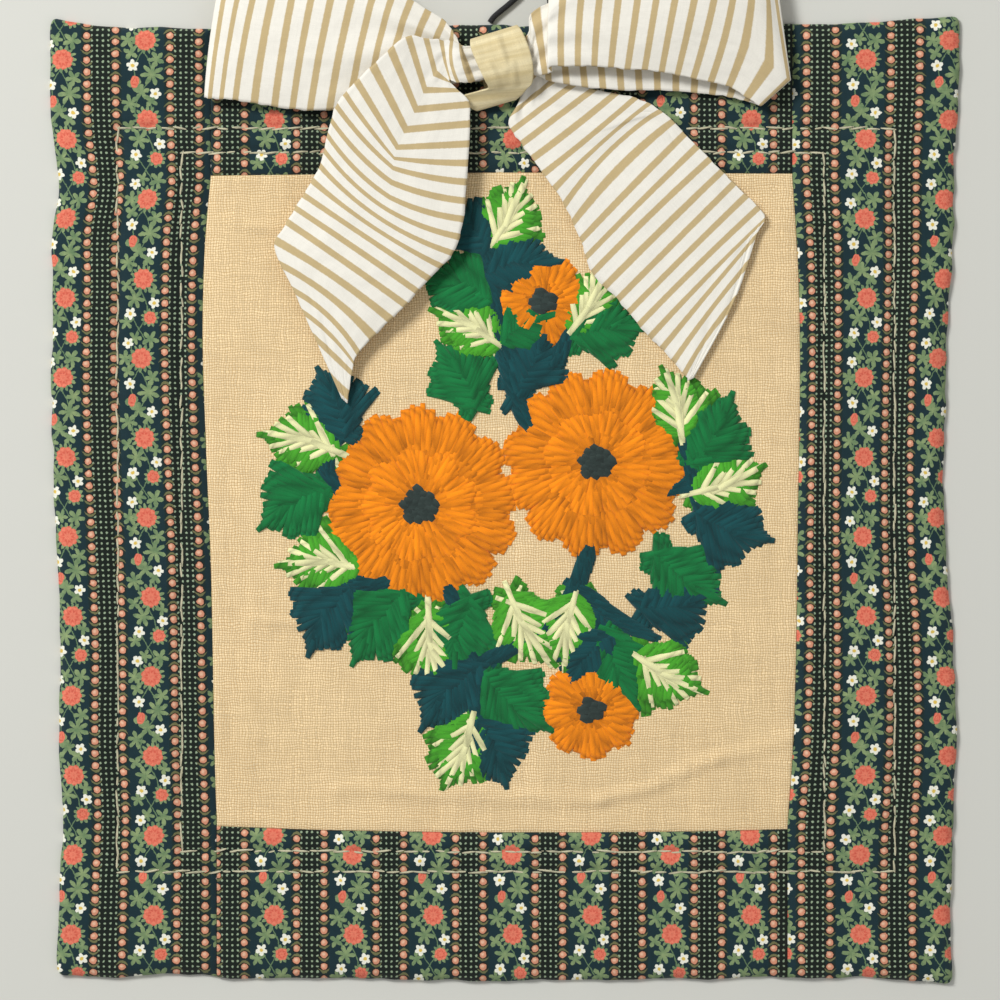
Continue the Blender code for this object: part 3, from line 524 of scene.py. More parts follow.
def plate(name, xs, ys, height, material, print_start=0.0):
    """A closed plate with a flat back, over the grid of the places xs and ys. Its map is the print's."""
    x, y = np.meshgrid(xs, ys, indexing="ij")
    real_x, real_y = drifted(x, y)
    columns, rows = x.shape
    top = np.stack([real_x, real_y, height(x, y)], axis=-1).reshape(-1, 3)
    places = np.stack(print_place(x, y), axis=-1).reshape(-1, 2) - (print_start, 0)
    index = np.arange(columns * rows).reshape(columns, rows)
    quads = np.stack([index[:-1, :-1], index[1:, :-1], index[1:, 1:], index[:-1, 1:]], axis=-1)
    faces = quads.reshape(-1, 4).tolist()
    rim = np.concatenate([index[:-1, 0], index[-1, :-1], index[:0:-1, -1], index[0, :0:-1]])
    middle = top[:, :2].mean(axis=0)
    inward = top[rim, :2] - middle
    inward /= np.abs(inward).max(axis=1, keepdims=True)
    skirt = []
    for share, inset in ((0.55, -0.1), (0.2, 0.1), (0.0, 0.6)):
        ring = top[rim].copy()
        ring[:, :2] -= inward * inset * (1 if inset > 0 else 0)
        ring[:, 2] *= share
        skirt.append(ring)
    rings = [rim] + [len(top) + k * len(rim) + np.arange(len(rim)) for k in range(len(skirt))]
    for upper, lower in zip(rings, rings[1:]):
        faces += np.stack([np.roll(upper, -1), upper, lower, np.roll(lower, -1)], axis=-1).tolist()
    faces.append(rings[-1][::-1].tolist())
    points = np.concatenate([top, *skirt])
    places = np.concatenate([places] + [places[rim]] * len(skirt))
    return mesh_from(name, points, faces, material, maps={"cloth": places})


def normals_of(grid, closed=False):
    """The mean normal of the faces round each point of a grid, longer where they fold sharply."""
    if closed:
        grid = np.concatenate([grid[-1:], grid, grid[:1]])
    diagonal = grid[1:, 1:] - grid[:-1, :-1]
    other = grid[1:, :-1] - grid[:-1, 1:]
    faces = np.cross(diagonal, other)
    faces /= np.maximum(np.linalg.norm(faces, axis=2, keepdims=True), 1e-9)
    total = np.zeros(grid.shape)
    count = np.zeros(grid.shape[:2])
    for i, j in ((0, 0), (0, 1), (1, 0), (1, 1)):
        rows, columns = slice(i, i + len(faces)), slice(j, j + faces.shape[1])
        total[rows, columns] += faces
        count[rows, columns] += 1
    length = np.linalg.norm(total, axis=2)
    miter = 1 / np.clip(length / count, SHARPEST_FOLD, 1)
    normal = total / np.maximum(length, 1e-9)[:, :, None] * miter[:, :, None]
    return normal[1:-1] if closed else normal


def cloth_from(name, grid, thickness, material, places, closed=False):
    """A thin closed solid: the grid's surface with half the thickness on each side of it."""
    rows, columns = grid.shape[:2]
    shift = normals_of(grid, closed) * thickness / 2
    points = np.concatenate([(grid + shift).reshape(-1, 3), (grid - shift).reshape(-1, 3)])
    index = np.arange(rows * columns).reshape(rows, columns)
    under = index + rows * columns
    if closed:
        index, under = (np.concatenate([k, k[:1]]) for k in (index, under))
    upper = np.stack([index[:-1, :-1], index[:-1, 1:], index[1:, 1:], index[1:, :-1]], axis=-1).reshape(-1, 4)
    lower = np.stack([under[:-1, :-1], under[1:, :-1], under[1:, 1:], under[:-1, 1:]], axis=-1).reshape(-1, 4)
    edges = [
        np.stack([index[:-1, 0], index[1:, 0], under[1:, 0], under[:-1, 0]], axis=-1),
        np.stack([under[:-1, -1], under[1:, -1], index[1:, -1], index[:-1, -1]], axis=-1),
    ]
    if not closed:
        edges.append(np.stack([under[0, :-1], under[0, 1:], index[0, 1:], index[0, :-1]], axis=-1))
        edges.append(np.stack([index[-1, :-1], index[-1, 1:], under[-1, 1:], under[-1, :-1]], axis=-1))
    faces = np.concatenate([upper, lower, *edges]).tolist()
    flat = places.reshape(-1, 2)
    return mesh_from(name, points, faces, material, maps={"cloth": np.concatenate([flat, flat])})


# ---- Node trees -----------------------------------------------------------------------------------------


class Wires:
    """Adds nodes to a tree and joins their sockets."""

    def __init__(self, tree):
        self.tree = tree

    def join(self, value, socket):
        if isinstance(value, bpy.types.NodeSocket):
            self.tree.links.new(value, socket)
        elif value is not None:
            socket.default_value = value

    def node(self, kind, inputs=None, **settings):
        made = self.tree.nodes.new(kind)
        for key, value in settings.items():
            setattr(made, key, value)
        for key, value in (inputs or {}).items():
            self.join(value, made.inputs[key])
        return made

    def math(self, operation, *values, clamp=False):
        made = self.node("ShaderNodeMath", operation=operation, use_clamp=clamp)
        for value, socket in zip(values, made.inputs):
            self.join(value, socket)
        return made.outputs[0]

    def vector(self, operation, *values):
        made = self.node("ShaderNodeVectorMath", operation=operation)
        for value, socket in zip(values, made.inputs):
            self.join(value, socket)
        return made.outputs[0]

    def scaled(self, vector, factor):
        made = self.node("ShaderNodeVectorMath", {0: vector}, operation="SCALE")
        self.join(factor, made.inputs["Scale"])
        return made.outputs[0]

    def xyz(self, vector):
        return self.node("ShaderNodeSeparateXYZ", {0: vector}).outputs

    def combine(self, x, y, z=0.0):
        return self.node("ShaderNodeCombineXYZ", {0: x, 1: y, 2: z}).outputs[0]

    def noise(self, vector, scale, detail=2.0):
        return self.node("ShaderNodeTexNoise", {"Vector": vector, "Scale": scale, "Detail": detail}).outputs

    def mix(self, share, first, second):
        made = self.node("ShaderNodeMix", {0: share, 6: first, 7: second}, data_type="RGBA")
        return made.outputs[2]

    def blend(self, share, first, second):
        return self.node("ShaderNodeMix", {0: share, 2: first, 3: second}, data_type="FLOAT").outputs[0]

    def edge(self, value, softness):
        """1 where value is above 0 and 0 below it, with an edge of the given softness."""
        return self.math("MULTIPLY_ADD", value, 1 / softness, 0.5, clamp=True)

    def wrapped(self, value, period, start=0.0):
        """value brought into one period from start."""
        moved = self.math("SUBTRACT", value, start)
        return self.math("ADD", self.math("FLOORED_MODULO", moved, period), start)

    def attribute(self, label):
        made = self.node("ShaderNodeAttribute", attribute_type="GEOMETRY", attribute_name=label)
        return made.outputs["Fac"]


def node_group(name, kind, inputs, outputs):
    """An empty node group: (tree, its wires, its inputs by name, its outputs by name)."""
    tree = bpy.data.node_groups.new(name, kind)
    for label, socket, default in inputs:
        made = tree.interface.new_socket(label, in_out="INPUT", socket_type="NodeSocket" + socket)
        if default is not None:
            made.default_value = default
    for label, socket in outputs:
        tree.interface.new_socket(label, in_out="OUTPUT", socket_type="NodeSocket" + socket)
    given, out = tree.nodes.new("NodeGroupInput"), tree.nodes.new("NodeGroupOutput")
    return tree, Wires(tree), given.outputs, out.inputs


def use_group(wires, name, inputs):
    """Places a shader group, which is built when it is first wanted, and gives its outputs."""
    if name not in bpy.data.node_groups:
        SHADER_GROUPS[name]()
    made = wires.tree.nodes.new("ShaderNodeGroup")
    made.node_tree = bpy.data.node_groups[name]
    for key, value in inputs.items():
        wires.join(value, made.inputs[key])
    return made.outputs


def make_weave_group():
    """Plain weave: threads over and under each other, uneven in place and in tone."""
    _, w, given, out = node_group(
        "plain_weave",
        "ShaderNodeTree",
        (("Place", "Vector", None), ("Pitch", "Float", 1.0), ("Slub", "Float", 0.3)),
        (("Height", "Float"), ("Tone", "Float")),
    )
    wander = w.vector("SUBTRACT", w.noise(given["Place"], 0.16, 2.0)["Color"], (0.5, 0.5, 0.5))
    place = w.vector("ADD", given["Place"], w.scaled(wander, w.math("MULTIPLY", given["Slub"], 6.0)))
    x, y, _ = w.xyz(w.scaled(place, w.math("DIVIDE", 1.0, given["Pitch"])))
    column, row = w.math("FLOOR", x), w.math("FLOOR", y)
    over = w.math("FLOORED_MODULO", w.math("ADD", column, row), 2.0)
    across = w.math("SINE", w.math("MULTIPLY", w.math("SUBTRACT", x, column), math.pi))
    along = w.math("SINE", w.math("MULTIPLY", w.math("SUBTRACT", y, row), math.pi))
    warp = w.math("MULTIPLY", across, w.math("MULTIPLY_ADD", along, 0.45, 0.55))
    weft = w.math("MULTIPLY", along, w.math("MULTIPLY_ADD", across, 0.45, 0.55))
    warp_place = w.combine(w.math("MULTIPLY", column, 7.31), w.math("MULTIPLY", y, 0.07))
    weft_place = w.combine(w.math("MULTIPLY", x, 0.07), w.math("MULTIPLY", row, 5.17), 9.0)
    warp_tone, weft_tone = w.noise(warp_place, 1.0)["Fac"], w.noise(weft_place, 1.0)["Fac"]
    w.join(w.blend(over, warp, weft), out["Height"])
    w.join(w.math("SUBTRACT", w.blend(over, warp_tone, weft_tone), 0.5), out["Tone"])


def make_rosette_group():
    """A ring of petals or leaflets round a centre, as masks."""
    _, w, given, out = node_group(
        "rosette",
        "ShaderNodeTree",
        (
            ("X", "Float", 0.0), ("Y", "Float", 0.0), ("Size", "Float", 3.0), ("Petals", "Float", 5.0),
            ("Depth", "Float", 0.4), ("Turn", "Float", 0.0), ("Squash", "Float", 1.0),
        ),
        (("Mask", "Float"), ("Out", "Float"), ("Lobe", "Float")),
    )
    place = w.combine(given["X"], given["Y"])
    turned = w.node("ShaderNodeVectorRotate", {"Vector": place, "Angle": given["Turn"]},
                    rotation_type="Z_AXIS").outputs[0]
    x, y, _ = w.xyz(turned)
    y = w.math("MULTIPLY", y, given["Squash"])
    away = w.math("SQRT", w.math("ADD", w.math("MULTIPLY", x, x), w.math("MULTIPLY", y, y)))
    angle = w.math("MULTIPLY", w.math("ARCTAN2", y, x), w.math("MULTIPLY", given["Petals"], 0.5))
    lobe = w.math("ABSOLUTE", w.math("COSINE", angle))
    reach = w.math("SUBTRACT", 1.0, w.math("MULTIPLY", given["Depth"], w.math("SUBTRACT", 1.0, lobe)))
    edge = w.math("MULTIPLY", given["Size"], reach)
    w.join(w.edge(w.math("SUBTRACT", edge, away), 0.16), out["Mask"])
    w.join(w.math("DIVIDE", away, given["Size"]), out["Out"])
    w.join(lobe, out["Lobe"])


def make_berry_group():
    """A column of round berries, each cupped by a curved pair of leaves."""
    _, w, given, out = node_group(
        "berry_column",
        "ShaderNodeTree",
        (("X", "Float", 0.0), ("Y", "Float", 0.0), ("Way", "Float", 1.0)),
        (("Berry", "Float"), ("Rim", "Float"), ("Shine", "Float"), ("Leaf", "Float")),
    )
    x = given["X"]
    y = w.wrapped(given["Y"], BERRY_PITCH, -BERRY_PITCH / 2)
    away = w.math("SQRT", w.math("ADD", w.math("MULTIPLY", x, x), w.math("MULTIPLY", y, y)))
    w.join(w.edge(w.math("SUBTRACT", 1.35, away), 0.2), out["Berry"])
    w.join(w.edge(w.math("SUBTRACT", 1.75, away), 0.25), out["Rim"])
    shine_x, shine_y = w.math("ADD", x, 0.2), w.math("ADD", y, -0.25)
    shine = w.math("ADD", w.math("MULTIPLY", shine_x, shine_x), w.math("MULTIPLY", shine_y, shine_y))
    w.join(w.math("SUBTRACT", 1.0, w.math("MULTIPLY", shine, 1.3), clamp=True), out["Shine"])
    square = w.math("MULTIPLY", x, x)
    bend = w.math("MULTIPLY", w.math("MULTIPLY_ADD", square, 0.26, -2.1), given["Way"])
    from_leaf = w.wrapped(w.math("SUBTRACT", given["Y"], bend), BERRY_PITCH, -BERRY_PITCH / 2)
    thick = w.math("MULTIPLY_ADD", square, -0.105, 0.6)
    w.join(w.edge(w.math("SUBTRACT", thick, w.math("ABSOLUTE", from_leaf)), 0.2), out["Leaf"])


# The calico's repeat, millimetres: berries, dots, berries, flowers, then the same again upside down.
REPEAT = 31.5
BERRY_PITCH = 4.82
SECOND_BERRY = 10.9
DOT_START, DOT_END, DOT_PITCH, DOT_RADIUS = 1.9, 9.2, 2.12, 0.44
FLORAL_MIDDLE = 21.2
FLORAL_REPEAT = 63.0

# x and y are in the floral stripe. turn is in degrees and squash above 1 makes a spot narrower.
Motif = namedtuple("Motif", "kind x y size petals depth turn squash")
MOTIFS = (
    Motif("sprig", 3.6, 38.0, 4.6, 7, 0.78, 20, 1.0),
    Motif("sprig", -5.6, 51.5, 3.4, 5, 0.75, 60, 1.0),
    Motif("sprig", 4.6, 59.0, 3.6, 5, 0.78, 10, 1.0),
    Motif("sprig", -1.5, 59.6, 2.8, 5, 0.72, 80, 1.0),
    Motif("sprig", 5.2, 44.0, 3.2, 5, 0.75, 100, 1.0),
    Motif("sprig", -4.6, 46.4, 2.8, 4, 0.72, 30, 1.0),
    Motif("sprig", -0.5, 31.0, 3.2, 5, 0.76, 55, 1.0),
    Motif("sprig", -4.8, 26.4, 3.8, 6, 0.78, 15, 1.0),
    Motif("sprig", 3.2, 27.6, 2.8, 4, 0.7, 40, 1.0),
    Motif("sprig", -5.4, 17.4, 2.8, 4, 0.75, 35, 1.0),
    Motif("sprig", -1.8, 12.2, 4.0, 6, 0.78, 70, 1.0),
    Motif("sprig", 5.8, 15.0, 2.6, 4, 0.72, 10, 1.0),
    Motif("sprig", -5.2, 2.8, 3.0, 5, 0.76, 50, 1.0),
    Motif("spikes", 1.0, 51.5, 5.6, 15, 0.42, 0, 1.0),
    Motif("spikes", 1.5, 20.0, 5.6, 15, 0.42, 8, 1.0),
    Motif("spikes", 4.4, 4.6, 3.8, 11, 0.42, 0, 1.0),
    Motif("spikes", -3.0, 34.0, 3.0, 3, 0.5, 70, 1.0),
    Motif("star", -4.4, 57.6, 2.3, 5, 0.42, 20, 1.0),
    Motif("star", -3.8, 41.4, 2.4, 5, 0.42, 50, 1.0),
    Motif("star", 4.8, 30.4, 2.3, 5, 0.42, 5, 1.0),
    Motif("star", 6.0, 10.4, 2.3, 5, 0.42, 35, 1.0),
    Motif("star", -3.6, 6.2, 2.4, 5, 0.42, 15, 1.0),
    Motif("rose", 1.0, 51.5, 4.1, 9, 0.14, 0, 1.0),
    Motif("rose", 1.5, 20.0, 4.1, 9, 0.14, 10, 1.0),
    Motif("rose", 4.4, 4.6, 2.6, 7, 0.16, 0, 1.0),
    Motif("rose", -3.0, 35.0, 2.5, 3, 0.12, 100, 1.5),
)
CALICO = {
    "ground": (21, 43, 42),
    "floral_ground": (20, 46, 52),
    "dot_ground": (17, 27, 20),
    "leaf": (104, 130, 92),
    "leaf_light": (146, 164, 114),
    "leaf_brown": (112, 112, 74),
    "dot": (150, 170, 140),
    "rim": (36, 26, 20),
    "berry": (212, 146, 116),
    "shine": (232, 190, 160),
    "rose": (230, 128, 102),
    "rose_deep": (208, 88, 70),
    "white": (238, 238, 222),
    "yellow": (222, 190, 90),
}


def make_calico_group():
    """The printed calico: Place is in millimetres on the cloth."""
    _, w, given, out = node_group(
        "calico_print", "ShaderNodeTree", (("Place", "Vector", None),), (("Color", "Color"),)
    )
    colour = {name: rgba(*value) for name, value in CALICO.items()}
    wobble = w.vector("SUBTRACT", w.noise(given["Place"], 0.55, 2.0)["Color"], (0.5, 0.5, 0.5))
    fine = w.vector("SUBTRACT", w.noise(given["Place"], 1.6, 1.0)["Color"], (0.5, 0.5, 0.5))
    place = w.vector("ADD", given["Place"], w.vector("ADD", w.scaled(wobble, 0.9), w.scaled(fine, 0.45)))
    x, y, _ = w.xyz(place)
    number = w.math("FLOOR", w.math("DIVIDE", x, REPEAT))
    flip = w.math("MULTIPLY_ADD", w.math("FLOORED_MODULO", number, 2.0), 2.0, -1.0)
    in_repeat = w.wrapped(x, REPEAT)
    in_floral = w.edge(w.math("SUBTRACT", in_repeat, SECOND_BERRY + 2.2), 0.3)
    in_floral = w.math("MULTIPLY", in_floral, w.edge(w.math("SUBTRACT", REPEAT - 2.2, in_repeat), 0.3))
    cloudy = w.noise(given["Place"], 0.3, 2.0)["Fac"]
    base = w.mix(in_floral, colour["ground"], colour["floral_ground"])

    dot_x = w.wrapped(w.math("SUBTRACT", in_repeat, DOT_START), DOT_PITCH, -DOT_PITCH / 2)
    dot_y = w.math("SUBTRACT", w.wrapped(y, DOT_PITCH), DOT_PITCH / 2)
    away = w.math("SQRT", w.math("ADD", w.math("MULTIPLY", dot_x, dot_x), w.math("MULTIPLY", dot_y, dot_y)))
    in_dots = w.math("MULTIPLY", w.edge(w.math("SUBTRACT", in_repeat, DOT_START - 0.6), 0.2),
                     w.edge(w.math("SUBTRACT", DOT_END, in_repeat), 0.2))
    base = w.mix(in_dots, base, colour["dot_ground"])
    dots = w.math("MULTIPLY", w.edge(w.math("SUBTRACT", DOT_RADIUS, away), 0.2), in_dots)
    base = w.mix(dots, base, colour["dot"])

    floral_x = w.math("SUBTRACT", in_repeat, FLORAL_MIDDLE)
    floral_y = w.wrapped(w.math("MULTIPLY_ADD", flip, 3.8, y), FLORAL_REPEAT)
    swing = w.math("MULTIPLY", w.math("SINE", w.math("MULTIPLY", floral_y, FULL_TURN / REPEAT)), 3.2)
    for way in (1, -1):
        off = w.math("ABSOLUTE", w.math("MULTIPLY_ADD", swing, way, floral_x))
        stem = w.math("MULTIPLY", w.edge(w.math("SUBTRACT", 0.22, off), 0.2), in_floral)
        base = w.mix(stem, base, colour["leaf"])
    for motif in MOTIFS:
        masks = use_group(w, "rosette", {
            "X": w.math("SUBTRACT", floral_x, motif.x),
            "Y": w.math("SUBTRACT", floral_y, motif.y),
            "Size": motif.size,
            "Petals": float(motif.petals),
            "Depth": motif.depth,
            "Turn": math.radians(motif.turn),
            "Squash": motif.squash,
        })
        if motif.kind in ("sprig", "spikes"):
            light = w.math("MULTIPLY_ADD", cloudy, 2.4, -0.8, clamp=True)
            tint = w.mix(light, colour["leaf"], colour["leaf_light"])
        elif motif.kind == "star":
            heart = w.edge(w.math("SUBTRACT", 0.3, masks["Out"]), 0.12)
            tint = w.mix(heart, colour["white"], colour["yellow"])
        else:
            ripple = w.math("MULTIPLY_ADD", masks["Out"], 11.0, w.math("MULTIPLY", masks["Lobe"], 3.0))
            rings = w.math("SINE", ripple)
            folds = w.math("MULTIPLY_ADD", w.math("MULTIPLY", rings, masks["Lobe"]), 0.6, 0.35, clamp=True)
            tint = w.mix(folds, colour["rose"], colour["rose_deep"])
        base = w.mix(w.math("MULTIPLY", masks["Mask"], in_floral), base, tint)

    for start, way in ((0.0, -1.0), (SECOND_BERRY, 1.0)):
        berry_x = w.wrapped(w.math("SUBTRACT", in_repeat, start), REPEAT, -REPEAT / 2)
        crossing = w.math("LESS_THAN", w.math("SUBTRACT", in_repeat, start), REPEAT / 2)
        own_flip = flip if start else w.math("MULTIPLY", flip, w.math("MULTIPLY_ADD", crossing, 2.0, -1.0))
        masks = use_group(w, "berry_column", {
            "X": berry_x,
            "Y": w.math("ADD", y, start * 0.23),
            "Way": w.math("MULTIPLY", own_flip, way),
        })
        base = w.mix(masks["Leaf"], base, colour["leaf_brown"])
        base = w.mix(masks["Rim"], base, colour["rim"])
        berry = w.mix(masks["Shine"], colour["berry"], colour["shine"])
        base = w.mix(masks["Berry"], base, berry)
    w.join(base, out["Color"])


SHADER_GROUPS = {
    "plain_weave": make_weave_group,
    "rosette": make_rosette_group,
    "berry_column": make_berry_group,
    "calico_print": make_calico_group,
}


def cloth_material(name, roughness, sheen=0.15):
    """A cloth's material with its shader: (material, wires, shader)."""
    made = bpy.data.materials.new(name)
    made.use_nodes = True
    shader = made.node_tree.nodes["Principled BSDF"]
    shader.inputs["Roughness"].default_value = roughness
    shader.inputs["Specular IOR Level"].default_value = 0.25
    shader.inputs["Sheen Weight"].default_value = sheen
    shader.inputs["Sheen Roughness"].default_value = 0.5
    return made, Wires(made.node_tree), shader


def add_bump(w, shader, height, strength, distance):
    bump = w.node("ShaderNodeBump", {"Height": height, "Strength": strength, "Distance": distance * MM})
    w.join(bump.outputs[0], shader.inputs["Normal"])


def tinted(w, colour, factor):
    """A colour made lighter or darker by a factor."""
    if isinstance(colour, tuple):
        colour = colour[:3]
    return w.node("ShaderNodeVectorMath", {0: colour, 1: w.combine(factor, factor, factor)},
                  operation="MULTIPLY").outputs[0]


def linen_material():
    made, w, shader = cloth_material("natural_linen", 0.92)
    place = w.scaled(w.node("ShaderNodeTexCoord").outputs["Object"], 1 / MM)
    weave = use_group(w, "plain_weave", {"Place": place, "Pitch": 1.03, "Slub": 0.34})
    soft = w.math("MULTIPLY_ADD", w.noise(place, 0.035, 3.0)["Fac"], 0.22, 0.89)
    tone = w.math("MULTIPLY", w.math("MULTIPLY_ADD", weave["Tone"], 0.75, 1.0), soft)
    thread = tinted(w, rgba(*LINEN_THREAD), tone)
    # The gaps between threads take a darker colour: painted shade between the threads.
    colour = w.mix(w.math("MULTIPLY_ADD", weave["Height"], 1.7, -0.25, clamp=True), rgba(*LINEN_GAP_PAINTED_SHADE), thread)
    w.join(colour, shader.inputs["Base Color"])
    add_bump(w, shader, weave["Height"], 0.55, 0.28)
    return made


def calico_material():
    made, w, shader = cloth_material("printed_calico", 0.85)
    place = w.node("ShaderNodeUVMap", uv_map="cloth").outputs[0]
    colour = use_group(w, "calico_print", {"Place": place})["Color"]
    weave = use_group(w, "plain_weave", {"Place": place, "Pitch": 0.42, "Slub": 0.1})
    tone = w.math("MULTIPLY_ADD", weave["Tone"], 0.5, 1.0)
    w.join(tinted(w, colour, tone), shader.inputs["Base Color"])
    add_bump(w, shader, weave["Height"], 0.3, 0.1)
    return made


LINEN_THREAD = (246, 221, 176)
# The linen's gap colour is painted shade between its threads.
LINEN_GAP_PAINTED_SHADE = (208, 172, 118)
RIBBON_CREAM = (240, 236, 224)
RIBBON_TAN = (198, 176, 130)
KNOT_TAN = (232, 218, 176)
KNOT_BAND = (212, 194, 146)


def ribbon_material():
    """Ticking: across the ribbon, tan stripes on cream. The map holds stripes and millimetres."""
    made, w, shader = cloth_material("striped_ticking", 0.85)
    stripe, across, _ = w.xyz(w.node("ShaderNodeUVMap", uv_map="cloth").outputs[0])
    along = w.math("MULTIPLY", stripe, STRIPE_PITCH)
    place = w.combine(along, across)
    uneven = w.math("MULTIPLY_ADD", w.noise(place, 0.9, 2.0)["Fac"], 0.05, -0.025)
    from_middle = w.math("ABSOLUTE", w.wrapped(w.math("ADD", stripe, uneven), 1.0, -0.5))
    tan = w.edge(w.math("SUBTRACT", 0.185, from_middle), 0.05)
    weave = use_group(w, "plain_weave", {"Place": place, "Pitch": 0.36, "Slub": 0.08})
    mottle = w.math("MULTIPLY_ADD", w.noise(place, 0.22, 3.0)["Fac"], 0.1, 0.95)
    tone = w.math("MULTIPLY", w.math("MULTIPLY_ADD", weave["Tone"], 0.22, 1.0), mottle)
    colour = w.mix(tan, rgba(*RIBBON_CREAM), rgba(*RIBBON_TAN))
    w.join(tinted(w, colour, tone), shader.inputs["Base Color"])
    add_bump(w, shader, weave["Height"], 0.25, 0.09)
    return made


def knot_material():
    """Homespun: plain tan with faint lighter and darker bands round the wrap."""
    made, w, shader = cloth_material("plain_homespun", 0.88)
    place = w.node("ShaderNodeUVMap", uv_map="cloth").outputs[0]
    around, across, _ = w.xyz(place)
    weave = use_group(w, "plain_weave", {"Place": place, "Pitch": 0.5, "Slub": 0.2})
    bands = w.noise(w.combine(w.math("MULTIPLY", around, 0.3), w.math("MULTIPLY", across, 0.02)), 1.0)["Fac"]
    colour = w.mix(w.math("MULTIPLY_ADD", bands, 4.0, -1.5, clamp=True), rgba(*KNOT_BAND), rgba(*KNOT_TAN))
    w.join(tinted(w, colour, w.math("MULTIPLY_ADD", weave["Tone"], 0.4, 1.0)), shader.inputs["Base Color"])
    add_bump(w, shader, weave["Height"], 0.4, 0.14)
    return made


def cord_material():
    made, w, shader = cloth_material("black_cord", 0.6)
    place = w.scaled(w.node("ShaderNodeTexCoord").outputs["Object"], 1 / MM)
    x, y, z = w.xyz(place)
    braid = w.math("SINE", w.math("MULTIPLY", w.math("ADD", x, y), 5.0))
    braid = w.math("MULTIPLY", braid, w.math("SINE", w.math("MULTIPLY", w.math("SUBTRACT", x, y), 5.0)))
    # Braid crests lighter and hollows darker: painted light and shade on the braid.
    w.join(w.mix(w.math("MULTIPLY_ADD", braid, 0.5, 0.5), rgba(14, 14, 15), rgba(44, 44, 46)),
           shader.inputs["Base Color"])
    add_bump(w, shader, braid, 0.5, 0.15)
    return made


def wool_material(name, colour, ply=2.3, tone_share=0.16):
    """Twisted yarn: along and around run over each stitch, reach is its length and tone its shade, part
    random and part painted shade; the twist's grooves are painted darker as shade.
    """
    made, w, shader = cloth_material(name, 0.9, sheen=0.3)
    along, around = w.attribute("along"), w.attribute("around")
    travelled = w.math("MULTIPLY", along, w.math("MULTIPLY", w.attribute("reach"), 1 / MM / ply))
    twist = w.math("FRACT", w.math("MULTIPLY_ADD", around, 2.0, travelled))
    groove = w.math("SINE", w.math("MULTIPLY", twist, math.pi))
    place = w.scaled(w.node("ShaderNodeTexCoord").outputs["Object"], 1 / MM)
    fuzz = w.noise(place, 3.2, 3.0)["Fac"]
    patchy = w.noise(place, 0.12, 1.0)["Fac"]
    tone = w.math("MULTIPLY_ADD", w.attribute("tone"), tone_share, 0.62)
    # Ply crowns lighter and grooves darker: painted shade in the twist.
    tone = w.math("ADD", tone, w.math("MULTIPLY", groove, 0.3))
    tone = w.math("ADD", tone, w.math("MULTIPLY_ADD", fuzz, 0.36, -0.18))
    tone = w.math("ADD", tone, w.math("MULTIPLY_ADD", patchy, 0.3, -0.15))
    w.join(tinted(w, tuple(colour), w.math("MULTIPLY", tone, 1.12)), shader.inputs["Base Color"])
    add_bump(w, shader, w.math("ADD", groove, w.math("MULTIPLY", fuzz, 0.8)), 0.7, 0.3)
    return made


def make_stitch_tree():
    """Geometry nodes: one arched strand of yarn on each point, with its own turn, reach and girth."""
    if "yarn_stitches" in bpy.data.node_groups:
        return
    _, w, given, out = node_group(
        "yarn_stitches",
        "GeometryNodeTree",
        (
            ("Geometry", "Geometry", None), ("Sides", "Int", 6), ("Segments", "Int", 7),
            ("Arch", "Float", 0.95), ("Sink", "Float", 0.3), ("Flatness", "Float", 0.72),
            ("Taper", "Float", 0.35), ("Yarn", "Material", None),
        ),
        (("Geometry", "Geometry"),),
    )
    rail = w.node("GeometryNodeCurveQuadraticBezier", {
        "Resolution": given["Segments"],
        "Start": w.combine(-0.5, 0.0, w.math("MULTIPLY", given["Sink"], -1.0)),
        "Middle": w.combine(0.0, 0.0, given["Arch"]),
        "End": w.combine(0.5, 0.0, w.math("MULTIPLY", given["Sink"], -1.0)),
    }).outputs[0]
    along = w.node("GeometryNodeSplineParameter").outputs["Factor"]
    from_middle = w.math("ABSOLUTE", w.math("MULTIPLY_ADD", along, 2.0, -1.0))
    radius = w.math("SUBTRACT", 0.5, w.math("MULTIPLY", w.math("POWER", from_middle, 3.0), given["Taper"]))
    rail = w.node("GeometryNodeSetCurveRadius", {"Curve": rail, "Radius": radius}).outputs[0]
    rail = w.node("GeometryNodeStoreNamedAttribute", {"Geometry": rail, "Name": "along", "Value": along},
                  data_type="FLOAT", domain="POINT").outputs[0]
    profile = w.node("GeometryNodeCurvePrimitiveCircle", {"Resolution": given["Sides"], "Radius": 1.0})
    profile = profile.outputs[0]
    around = w.node("GeometryNodeSplineParameter").outputs["Factor"]
    profile = w.node("GeometryNodeStoreNamedAttribute",
                     {"Geometry": profile, "Name": "around", "Value": around},
                     data_type="FLOAT", domain="POINT").outputs[0]
    strand = w.node("GeometryNodeCurveToMesh", {"Curve": rail, "Profile Curve": profile, "Fill Caps": True})
    strand = strand.outputs[0]

    def stored(label):
        read = w.node("GeometryNodeInputNamedAttribute", {"Name": label}, data_type="FLOAT")
        return read.outputs["Attribute"]

    turn = w.node("FunctionNodeEulerToRotation", {0: w.combine(0.0, 0.0, stored("turn"))}).outputs[0]
    girth = stored("girth")
    size = w.combine(stored("reach"), girth, w.math("MULTIPLY", girth, given["Flatness"]))
    placed = w.node("GeometryNodeInstanceOnPoints", {
        "Points": given["Geometry"], "Instance": strand, "Rotation": turn, "Scale": size,
    }).outputs[0]
    real = w.node("GeometryNodeRealizeInstances", {"Geometry": placed}).outputs[0]
    real = w.node("GeometryNodeSetShadeSmooth", {"Geometry": real}).outputs[0]
    real = w.node("GeometryNodeSetMaterial", {"Geometry": real, "Material": given["Yarn"]}).outputs[0]
    w.join(real, out["Geometry"])


